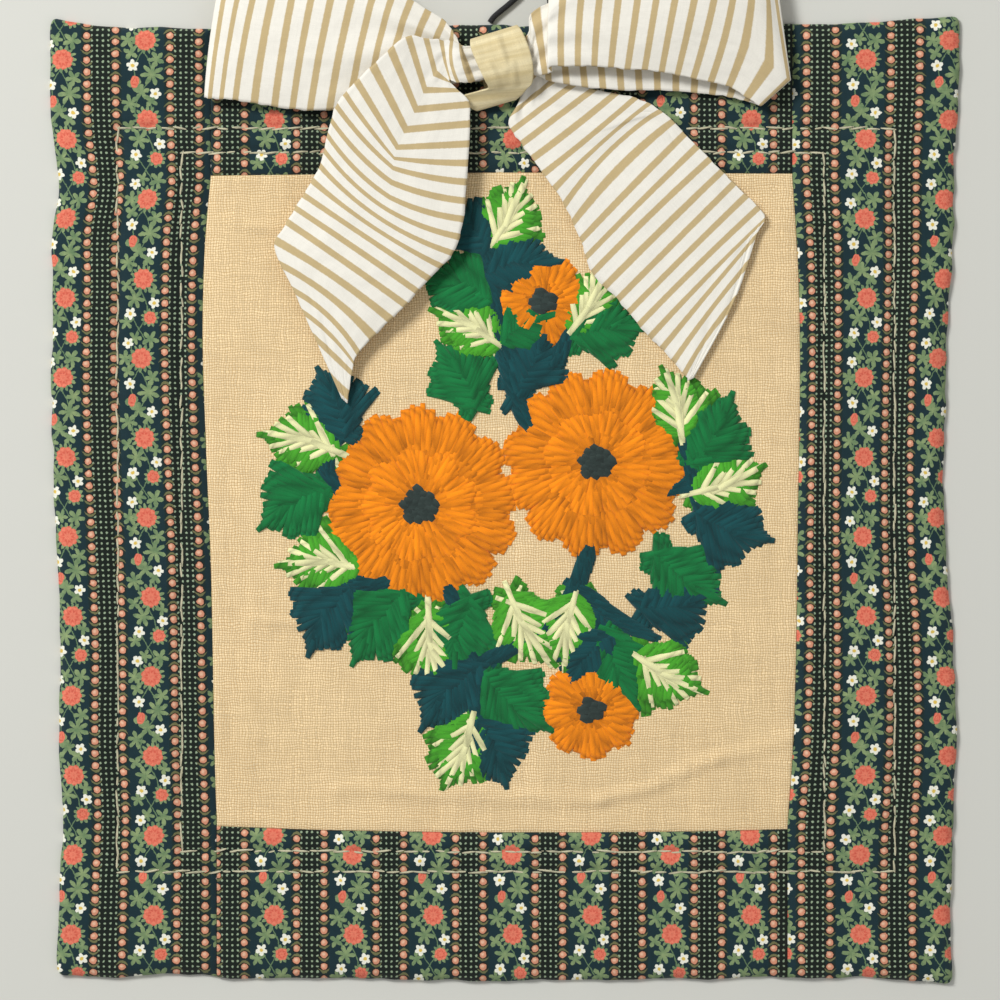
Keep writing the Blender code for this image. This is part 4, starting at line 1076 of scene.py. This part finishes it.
def set_input(modifier, label, value):
    """Sets a geometry nodes modifier's input by the identifier of the socket with that name."""
    for item in modifier.node_group.interface.items_tree:
        if item.item_type == "SOCKET" and item.in_out == "INPUT" and item.name == label:
            modifier[item.identifier] = value
            return
    raise KeyError(label)


# ---- Stitches ---------------------------------------------------------------------------------------------

Stitch = namedtuple("Stitch", "x0 y0 x1 y1 width lift tone")


def sewn(name, stitches, ground, material, **settings):
    """All the stitches of one yarn as one plain mesh. ground is the height of the cloth under them."""
    rows = np.array(stitches, dtype=float)
    x0, y0, x1, y1, width, lift, tone = rows.T
    x, y = (x0 + x1) / 2, (y0 + y1) / 2
    points = np.stack([x, y, ground(x, y) + lift], axis=-1)
    numbers = {
        "turn": np.arctan2(y1 - y0, x1 - x0),
        "reach": np.hypot(x1 - x0, y1 - y0) * MM,
        "girth": width * MM,
        "tone": tone,
    }
    obj = mesh_from(name, points, [], material, numbers=numbers)
    modifier = obj.modifiers.new("stitches", "NODES")
    modifier.node_group = bpy.data.node_groups["yarn_stitches"]
    set_input(modifier, "Yarn", material)
    for label, value in settings.items():
        set_input(modifier, label, value)
    graph = bpy.context.evaluated_depsgraph_get()
    mesh = bpy.data.meshes.new_from_object(obj.evaluated_get(graph))
    obj.modifiers.remove(modifier)
    obj.data = mesh
    return obj


class Skeins:
    """The stitches laid so far, by yarn."""

    def __init__(self):
        self.rows = {name: [] for name in WOOL}
        self.count = 0

    def lay(self, yarn, start, end, width=STRAND_WIDTH, lift=0.0, tone=0.0):
        self.count += 1
        shake = scatter_of(*np.array([[self.count] * 5, range(5)]))
        grown = width * (1 + 0.08 * shake[0])
        row = Stitch(
            start[0] + 0.25 * shake[1], start[1] + 0.25 * shake[2], end[0] + 0.25 * shake[2],
            end[1] + 0.25 * shake[3], grown, lift + 0.06 * shake[4], tone + 0.45 * shake[3],
        )
        self.rows[yarn].append(row)


def leaf_place(leaf, t, side):
    """A point of a leaf: t runs from its foot to its tip, and side is millimetres from its vein."""
    angle = math.radians(leaf.angle)
    bow = 0.07 * leaf.length * math.sin(math.pi * t) * (1 if int(leaf.x + leaf.y) % 2 else -1)
    forward, sideways = t * leaf.length, side + bow
    return (
        leaf.x + forward * math.cos(angle) - sideways * math.sin(angle),
        leaf.y + forward * math.sin(angle) + sideways * math.cos(angle),
    )


def leaf_half_width(leaf, t):
    """Half of a leaf's width: broad below the middle, pointed, with shallow teeth."""
    t = min(max(t, 0.0), 1.0)
    body = math.sin(math.pi * t**0.8) ** 1.15
    teeth = 1 + 0.13 * math.sin(3 * FULL_TURN * t + 0.6)
    return LEAF_WIDTH_SHARE * leaf.length * body * teeth


def fishbone(skeins, leaf, yarn, lift=0.0, tone=0.0):
    """Slanting stitches from a leaf's vein out to its edge, on both sides."""
    count = round(leaf.length / STRAND_PITCH)
    for k in range(count):
        t = 0.1 + 0.9 * (k + 0.5) / count
        for side in (-1, 1):
            start = leaf_place(leaf, max(t - 0.24, 0.0), -0.35 * side)
            end = leaf_place(leaf, t, side * leaf_half_width(leaf, t))
            skeins.lay(yarn, start, end, lift=lift, tone=tone + 0.25 * side)
    skeins.lay(yarn, leaf_place(leaf, 0.74, 0), leaf_place(leaf, 1.04, 0), lift=lift + 0.1, tone=tone)


def rimmed(skeins, leaf):
    """A leaf with a lime rim of short stitches round cream veins."""
    # The low lime fill is made dark: painted shade between the rim and the cream veins.
    fishbone(skeins, leaf, "wool_lime", lift=-0.35, tone=-1.2)
    count = round(leaf.length / 1.5)
    for k in range(count):
        t = 0.05 + 0.95 * (k + 0.5) / count
        for side in (-1, 1):
            width = leaf_half_width(leaf, t)
            start = leaf_place(leaf, t - 0.06, side * max(width - 4.0, 0.4))
            end = leaf_place(leaf, t, side * (width + 0.5))
            skeins.lay("wool_lime", start, end, width=1.8, lift=0.05, tone=0.3)
    skeins.lay("wool_cream", leaf_place(leaf, 0.1, 0), leaf_place(leaf, 0.5, 0), lift=0.35)
    skeins.lay("wool_cream", leaf_place(leaf, 0.44, 0), leaf_place(leaf, 0.86, 0), lift=0.35)
    for t in (0.16, 0.3, 0.44, 0.58):
        for side in (-1, 1):
            reach = leaf_half_width(leaf, t + 0.2) * (0.62 if t > 0.2 else 0.75)
            start = leaf_place(leaf, t, side * 0.3)
            skeins.lay("wool_cream", start, leaf_place(leaf, t + 0.26, side * reach), width=1.7, lift=0.35)


def petal_ring(skeins, flower, petals, inner, outer, turn, lift, tone):
    """A ring of round-ended petals, each filled with long and short stitches."""
    half = math.pi / petals
    per_petal = max(3, round(2 * half * flower.radius * outer * 0.86 / STRAND_PITCH))
    for p in range(petals):
        middle = math.radians(turn) + 2 * half * p
        for j in range(per_petal):
            a = (2 * j + 1) / per_petal - 1
            angle = middle + a * half * 0.97
            tip = flower.radius * (outer - 0.15 * (outer - inner + 0.2) * abs(a) ** 2.2 - 0.02 * (j % 2))
            foot = flower.radius * inner
            split = foot + (tip - foot) * (0.42 if j % 2 else 0.56)
            # Stitches grow darker towards a petal's sides: painted shade where the petals meet. The foot row
            # is darker again.
            shade = tone - 1.1 * abs(a) ** 3
            way = np.array([math.cos(angle), math.sin(angle)])
            centre = np.array([flower.x, flower.y])
            skeins.lay("wool_orange", centre + way * (split - 1.2), centre + way * tip, lift=lift, tone=shade)
            if j % 2 == 0 or inner > 0.3:
                skeins.lay("wool_orange", centre + way * foot, centre + way * (split + 1.2), lift=lift - 0.15,
                           tone=shade - 0.5)


def blossom(skeins, flower):
    """Two rings of petals round a heart of knots, or one ring where the flower is small."""
    if flower.radius > 20:
        petal_ring(skeins, flower, flower.petals, 0.5, 1.0, flower.turn, 0.0, 0.1)
        inner = round(flower.petals * 0.7)
        petal_ring(skeins, flower, inner, 0.2, 0.6, flower.turn + 11, 0.55, 0.7)
        knots, heart = 22, 0.2
    else:
        petal_ring(skeins, flower, flower.petals, 0.25, 1.0, flower.turn, 0.0, 0.3)
        knots, heart = 9, 0.27
    for k in range(knots):
        away = flower.radius * heart * math.sqrt((k + 0.5) / knots)
        angle = 2.39996 * k
        x, y = flower.x + away * math.cos(angle), flower.y + away * math.sin(angle)
        dx, dy = 1.3 * math.cos(3.1 * k), 1.3 * math.sin(3.1 * k)
        skeins.lay("wool_charcoal", (x - dx, y - dy), (x + dx, y + dy), width=2.3, lift=0.75)


def rope_stem(skeins, route):
    """Two rows of overlapping slanted stitches along a route."""
    line = curve_through(route, 24 * (len(route) - 1) + 1)
    travelled = np.concatenate([[0], np.cumsum(np.hypot(*np.diff(line, axis=0).T))])
    count = max(2, round(travelled[-1] / 2.9))
    for k in range(count):
        here = (k + 0.5) / count * travelled[-1]
        x, y = (np.interp(here, travelled, line[:, axis]) for axis in (0, 1))
        ahead = [np.interp(min(here + 1, travelled[-1]), travelled, line[:, axis]) for axis in (0, 1)]
        behind = [np.interp(max(here - 1, 0), travelled, line[:, axis]) for axis in (0, 1)]
        angle = math.atan2(ahead[1] - behind[1], ahead[0] - behind[0])
        for row in (-1, 1):
            sx, sy = x - row * 0.8 * math.sin(angle), y + row * 0.8 * math.cos(angle)
            dx, dy = 3.5 * math.cos(angle + 0.22), 3.5 * math.sin(angle + 0.22)
            skeins.lay("wool_teal", (sx - dx, sy - dy), (sx + dx, sy + dy), width=1.8, lift=-0.1)


def running_stitches(rectangle, pitch, length):
    """Stitches in line round a rectangle (x0, x1, y0, y1), at an even pitch on each side."""
    x0, x1, y0, y1 = rectangle
    rows = []
    corners = ((x0, y0), (x1, y0), (x1, y1), (x0, y1))
    for side, (start, end) in enumerate(zip(corners, corners[1:] + corners[:1])):
        start, end = np.array(start, dtype=float), np.array(end, dtype=float)
        span = np.linalg.norm(end - start)
        way = (end - start) / span
        count = round(span / pitch)
        for k in range(count):
            shake = scatter_of(*np.array([[side * 1000 + k] * 4, range(4)]))
            middle = start + way * span * (k + 0.5 + 0.1 * shake[0]) / count
            middle = middle + way[::-1] * 0.35 * shake[1]
            reach = way * length / 2 * (1 + 0.25 * shake[2])
            slant = way[::-1] * (-1, 1) * 0.22 * shake[3]
            first = np.array(drifted(*(middle - reach - slant)))
            last = np.array(drifted(*(middle + reach + slant)))
            rows.append(Stitch(*first, *last, QUILTING_WIDTH, 0.0, 0.4 * shake[1]))
    return rows


def ribbon_grid(table, columns):
    """The ribbon's middle surface: a row of points for each rib, from edge a to edge b."""
    a, m, b = (table[:, None, k : k + 3] for k in (0, 3, 6))
    crisp = table[:, 9, None, None]
    pleat = table[:, 10, None]
    t = np.linspace(0, 1, columns + 1)
    first = np.linalg.norm(m - a, axis=2, keepdims=True)
    middle = first / (first + np.linalg.norm(b - m, axis=2, keepdims=True))
    half = t[None, :, None] * 2
    u = np.where(half < 1, half * middle, middle + (half - 1) * (1 - middle))
    rounded = a * (u - middle) * (u - 1) / middle
    rounded += m * u * (u - 1) / (middle * (middle - 1))
    rounded += b * u * (u - middle) / (1 - middle)
    straight = np.where(half < 1, a + (m - a) * half, m + (b - m) * (half - 1))
    grid = straight * crisp + rounded * (1 - crisp)
    grid[:, :, 2] += pleat * np.sin(FULL_TURN * PLEATS * t)[None, :]
    return grid


def ribbon_surface():
    """The ribbon with its wrinkles and uneven raw edges, and its map in stripes and millimetres."""
    table = curve_through(np.array(RIBBON, dtype=float), (len(RIBBON) - 1) * ROWS_PER_RIB + 1)
    grid = ribbon_grid(table, RIBBON_COLUMNS)
    t = np.linspace(0, 1, RIBBON_COLUMNS + 1)[None, :] * np.ones((len(table), 1))
    stripe = table[:, 11, None] * np.ones(t.shape)
    along, across = stripe * STRIPE_PITCH, t * RIBBON_WIDTH
    grid[:, :, 2] += WRINKLE * (waves(along, across, 9.0, 21) + 0.5 * waves(along, across, 3.5, 22))
    reach = grid[:, -1:] - grid[:, :1]
    reach /= np.maximum(np.linalg.norm(reach, axis=2, keepdims=True), 1e-6)
    edge = fade(t, 0.04) * waves(along, across, 1.6, 23) - fade(1 - t, 0.04) * waves(along, across, 1.6, 24)
    return grid + reach * (FRAY * edge)[:, :, None], np.stack([stripe, across], axis=-1)


def knot_surface():
    """The wrap round the bow with its folds, and its map in millimetres."""
    turns = curve_through(np.array(KNOT, dtype=float).reshape(-1, 2, 3), KNOT_ROWS, closed=True)
    w = np.linspace(0, 1, KNOT_COLUMNS + 1)[None, :, None]
    grid = turns[:, :1] * (1 - w) + turns[:, 1:] * w
    middle = turns.mean(axis=1)
    steps = np.linalg.norm(np.diff(middle, axis=0), axis=1)
    around = np.concatenate([[0], np.cumsum(steps)])[:, None] * np.ones(grid.shape[:2])
    across = w[:, :, 0] * np.linalg.norm(turns[:, 1] - turns[:, 0], axis=1)[:, None]
    front = np.clip((grid[:, :, 2] - 12.5) / 3, 0, 1)
    rise = rise_of(KNOT_FOLDS, grid[:, :, 0], grid[:, :, 1]) + 0.3 * waves(across, around / 4, 2.6, 31)
    grid[:, :, 2] += front * rise
    return grid, np.stack([around, across], axis=-1)


# ---- Placing the pieces -------------------------------------------------------------------------------


def settle(piece, slot, *nodes):
    """A finished piece rides on the one body and stands for its nodes, which are hidden. slot is not used."""
    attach(piece, BODY)
    if nodes:
        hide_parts(*nodes)
    return piece


def quilted_height(x, y):
    """The border's height under the running stitches, on the side strips and on the strips between."""
    sides = border_height(x, y, ((0, SEAM_LEFT), (0, SEAM_RIGHT)))
    between = border_height(x, y, ((1, SEAM_BOTTOM), (1, SEAM_TOP)))
    return np.where((x < SEAM_LEFT) | (x > SEAM_RIGHT), sides, between)


# The calico's first berry column on the side strips, and on the top and bottom strips.
SIDE_PRINT_START, END_PRINT_START = -163.8, -114.1

# Each border strip: node, x0, x1, y0, y1, the seams beside it and where its print starts.
Strip = namedtuple("Strip", "node x0 x1 y0 y1 seams print_start")
HALF_GAP = SEAM_GAP / 2
SIDE_SEAMS = ((0, SEAM_LEFT), (0, SEAM_RIGHT))
STRIPS = (
    Strip("border_left", LEFT, SEAM_LEFT - HALF_GAP, BOTTOM, TOP, SIDE_SEAMS[:1], SIDE_PRINT_START),
    Strip("border_right", SEAM_RIGHT + HALF_GAP, RIGHT, BOTTOM, TOP, SIDE_SEAMS[1:], SIDE_PRINT_START),
    Strip("border_top", SEAM_LEFT + HALF_GAP, SEAM_RIGHT - HALF_GAP, SEAM_TOP + HALF_GAP, TOP,
          (*SIDE_SEAMS, (1, SEAM_TOP)), END_PRINT_START),
    Strip("border_bottom", SEAM_LEFT + HALF_GAP, SEAM_RIGHT - HALF_GAP, BOTTOM, SEAM_BOTTOM - HALF_GAP,
          (*SIDE_SEAMS, (1, SEAM_BOTTOM)), END_PRINT_START),
)

# The stage, metres and watts.
FRAME_WIDTH = 0.397
CAMERA_PLACE = (-0.002, -0.0008, 1.6)
SENSOR = 36.0
KEY_PLACE = (-1.05, 1.0, 1.5)
KEY_SIZE = 0.55
FILL_PLACE = (1.4, -0.9, 1.6)


# ---- Settings -----------------------------------------------------------------------------------------


def length_setting(name, description, millimetres):
    return bpy.props.FloatProperty(
        name=name, description=description, default=millimetres * MM, min=0.0, unit="LENGTH", precision=5
    )


def colour_setting(name, description, red, green, blue):
    return bpy.props.FloatVectorProperty(
        name=name, description=description, default=srgb(red, green, blue), subtype="COLOR", min=0.0, max=1.0
    )


class EmbroiderySizes(bpy.types.PropertyGroup):
    """The sizes that the pieces are made to."""

    linen_step: length_setting("Linen Step", "Distance between the linen's mesh points", 1.5)
    border_step: length_setting("Border Step", "Distance between the border's mesh points", 1.3)
    ribbon_thickness: length_setting("Ribbon Thickness", "Thickness of the striped ribbon", 0.5)
    knot_thickness: length_setting("Knot Thickness", "Thickness of the strip wrapped round the bow", 0.8)
    cord_diameter: length_setting("Cord Diameter", "Diameter of the hanging cord", 2.3)
    quilting_pitch: length_setting("Quilting Pitch", "Distance from one running stitch to the next", 5.6)
    quilting_length: length_setting("Quilting Length", "Visible length of a running stitch", 2.5)


class EmbroideryColours(bpy.types.PropertyGroup):
    """The colours of the quilting thread and the stage, and the strength of the light."""

    thread: colour_setting("Quilting Thread", "Colour of the running stitches", 206, 200, 168)
    floor: colour_setting("Floor", "Colour of the floor", 212, 212, 204)
    key_power: bpy.props.FloatProperty(
        name="Key Power", description="Power of the main light", default=33.0, min=0.0, unit="POWER"
    )
    surround: bpy.props.FloatProperty(
        name="Surround", description="Brightness of the even light from all round", default=0.4, min=0.0
    )


# ---- Operators ------------------------------------------------------------------------------------------


class EMBROIDERY_OT_stage(bpy.types.Operator):
    """Makes the camera, the floor and the lights"""

    bl_idname = "embroidery.stage"
    bl_label = "Stage"

    def execute(self, context):
        scene, colours = context.scene, context.scene.embroidery_colours
        lens = bpy.data.cameras.new("overhead_camera")
        lens.sensor_width = SENSOR
        lens.lens = SENSOR * CAMERA_PLACE[2] / FRAME_WIDTH
        camera = bpy.data.objects.new("overhead_camera", lens)
        camera.location = CAMERA_PLACE
        scene.collection.objects.link(camera)
        scene.camera = camera
        scene.view_settings.view_transform = "Standard"

        for name, place, size, power in (
            ("key_light", KEY_PLACE, KEY_SIZE, colours.key_power),
            ("fill_light", FILL_PLACE, 1.5, colours.key_power / 8),
        ):
            light = bpy.data.lights.new(name, "AREA")
            light.size = size
            light.energy = power
            lamp = bpy.data.objects.new(name, light)
            lamp.location = place
            lamp.rotation_euler = (-lamp.location).to_track_quat("-Z", "Y").to_euler()
            scene.collection.objects.link(lamp)
        world = bpy.data.worlds.new("even_light")
        world.use_nodes = True
        world.node_tree.nodes["Background"].inputs["Color"].default_value = (1, 1, 1, 1)
        world.node_tree.nodes["Background"].inputs["Strength"].default_value = colours.surround
        scene.world = world

        paint = bpy.data.materials.new("floor_paint")
        paint.use_nodes = True
        shader = paint.node_tree.nodes["Principled BSDF"]
        shader.inputs["Base Color"].default_value = (*colours.floor, 1.0)
        shader.inputs["Roughness"].default_value = 0.9
        half, level = 2500.0, -0.2
        corners = [(-half, -half, level), (half, -half, level), (half, half, level), (-half, half, level)]
        mesh_from("floor", corners, [(0, 1, 2, 3)], paint)
        return {"FINISHED"}


class EMBROIDERY_OT_hanging_cord(bpy.types.Operator):
    """Makes the black hanging cord, with both ends in the top edge"""

    bl_idname = "embroidery.hanging_cord"
    bl_label = "Hanging Cord"

    def execute(self, context):
        diameter = context.scene.embroidery_sizes.cord_diameter
        route = curve_through([(x, y, CORD_HEIGHT) for x, y in CORD_ROUTE], 80) * MM
        curve = bpy.data.curves.new("black_hanging_cord", "CURVE")
        curve.dimensions = "3D"
        curve.bevel_depth = diameter / 2
        curve.bevel_resolution = 4
        curve.use_fill_caps = True
        spline = curve.splines.new("POLY")
        spline.points.add(len(route) - 1)
        spline.points.foreach_set("co", np.hstack([route, np.ones((len(route), 1))]).ravel())
        spline.use_smooth = True
        curve.materials.append(cord_material())
        piece = bpy.data.objects.new("black_hanging_cord", curve)
        context.collection.objects.link(piece)
        settle(piece, "cord", "hanging_loop")
        return {"FINISHED"}


class EMBROIDERY_OT_linen_ground(bpy.types.Operator):
    """Makes the linen that carries the embroidery"""

    bl_idname = "embroidery.linen_ground"
    bl_label = "Linen Ground"

    def execute(self, context):
        step = context.scene.embroidery_sizes.linen_step / MM
        xs = stations(SEAM_LEFT + HALF_GAP, SEAM_RIGHT - HALF_GAP, step)
        ys = stations(SEAM_BOTTOM + HALF_GAP, SEAM_TOP - HALF_GAP, step)
        piece = plate("linen_ground", xs, ys, linen_height, linen_material())
        settle(piece, "linen", "linen_panel")
        return {"FINISHED"}


class EMBROIDERY_OT_calico_border(bpy.types.Operator):
    """Makes the four wadded calico strips round the linen"""

    bl_idname = "embroidery.calico_border"
    bl_label = "Calico Border"

    def execute(self, context):
        step = context.scene.embroidery_sizes.border_step / MM
        material = calico_material()
        for strip in STRIPS:
            piece = plate(
                strip.node.replace("border", "calico"),
                stations(strip.x0, strip.x1, step),
                stations(strip.y0, strip.y1, step),
                lambda x, y, seams=strip.seams: border_height(x, y, seams),
                material,
                strip.print_start,
            )
            settle(piece, "calico", strip.node)
        return {"FINISHED"}


class EMBROIDERY_OT_quilting(bpy.types.Operator):
    """Sews two rectangles of running stitch through the border"""

    bl_idname = "embroidery.quilting"
    bl_label = "Quilting"

    def execute(self, context):
        sizes = context.scene.embroidery_sizes
        make_stitch_tree()
        rows = []
        for rectangle in (OUTER_QUILTING, INNER_QUILTING):
            rows += running_stitches(rectangle, sizes.quilting_pitch / MM, sizes.quilting_length / MM)
        thread = wool_material("quilting_thread", context.scene.embroidery_colours.thread, ply=1.3)
        settle(sewn("running_stitches", rows, quilted_height, thread, Arch=1.3), "calico")
        return {"FINISHED"}


class EMBROIDERY_OT_wool_embroidery(bpy.types.Operator):
    """Sews the leaves, flowers and stems in wool"""

    bl_idname = "embroidery.wool_embroidery"
    bl_label = "Wool Embroidery"

    def execute(self, context):
        make_stitch_tree()
        skeins = Skeins()
        for route in STEMS:
            rope_stem(skeins, route)
        for leaf in LEAVES:
            if leaf.finish == "rimmed":
                rimmed(skeins, leaf)
            else:
                fishbone(skeins, leaf, "wool_" + leaf.finish)
        for flower in FLOWERS:
            blossom(skeins, flower)
        for yarn, rows in skeins.rows.items():
            piece = sewn(yarn + "_stitches", rows, linen_height, wool_material(yarn, srgb(*WOOL[yarn])))
            settle(piece, "linen")
        return {"FINISHED"}


class EMBROIDERY_OT_ribbon_bow(bpy.types.Operator):
    """Makes the striped ribbon, folded into two loops and two tails"""

    bl_idname = "embroidery.ribbon_bow"
    bl_label = "Ribbon Bow"

    def execute(self, context):
        thickness = context.scene.embroidery_sizes.ribbon_thickness / MM
        grid, places = ribbon_surface()
        piece = cloth_from("striped_ribbon", grid, thickness, ribbon_material(), places)
        settle(piece, "ticking", "bow_strip")
        return {"FINISHED"}


class EMBROIDERY_OT_bow_knot(bpy.types.Operator):
    """Makes the plain strip wrapped round the middle of the bow"""

    bl_idname = "embroidery.bow_knot"
    bl_label = "Bow Knot"

    def execute(self, context):
        thickness = context.scene.embroidery_sizes.knot_thickness / MM
        grid, places = knot_surface()
        piece = cloth_from("homespun_knot", grid, thickness, knot_material(), places, closed=True)
        settle(piece, "homespun", "bow_knot")
        return {"FINISHED"}


PIECES = (
    EMBROIDERY_OT_stage,
    EMBROIDERY_OT_hanging_cord,
    EMBROIDERY_OT_linen_ground,
    EMBROIDERY_OT_calico_border,
    EMBROIDERY_OT_quilting,
    EMBROIDERY_OT_wool_embroidery,
    EMBROIDERY_OT_ribbon_bow,
    EMBROIDERY_OT_bow_knot,
)


class EMBROIDERY_PT_pieces(bpy.types.Panel):
    """Lists the pieces of the embroidery panel"""

    bl_label = "Embroidery Panel"
    bl_space_type = "VIEW_3D"
    bl_region_type = "UI"
    bl_category = "Embroidery"

    def draw(self, context):
        for settings in (context.scene.embroidery_sizes, context.scene.embroidery_colours):
            for label in settings.__annotations__:
                self.layout.prop(settings, label)
        for piece in PIECES:
            self.layout.operator(piece.bl_idname)


CLASSES = (EmbroiderySizes, EmbroideryColours, *PIECES, EMBROIDERY_PT_pieces)


def register():
    for made in CLASSES:
        bpy.utils.register_class(made)
    bpy.types.Scene.embroidery_sizes = bpy.props.PointerProperty(type=EmbroiderySizes)
    bpy.types.Scene.embroidery_colours = bpy.props.PointerProperty(type=EmbroideryColours)


def unregister():
    del bpy.types.Scene.embroidery_colours
    del bpy.types.Scene.embroidery_sizes
    for made in reversed(CLASSES):
        bpy.utils.unregister_class(made)


def main():
    register()
    bpy.ops.embroidery.stage()
    bpy.ops.embroidery.hanging_cord()
    bpy.ops.embroidery.linen_ground()
    bpy.ops.embroidery.calico_border()
    bpy.ops.embroidery.quilting()
    bpy.ops.embroidery.wool_embroidery()
    bpy.ops.embroidery.ribbon_bow()
    bpy.ops.embroidery.bow_knot()


if __name__ == "__main__":
    main()
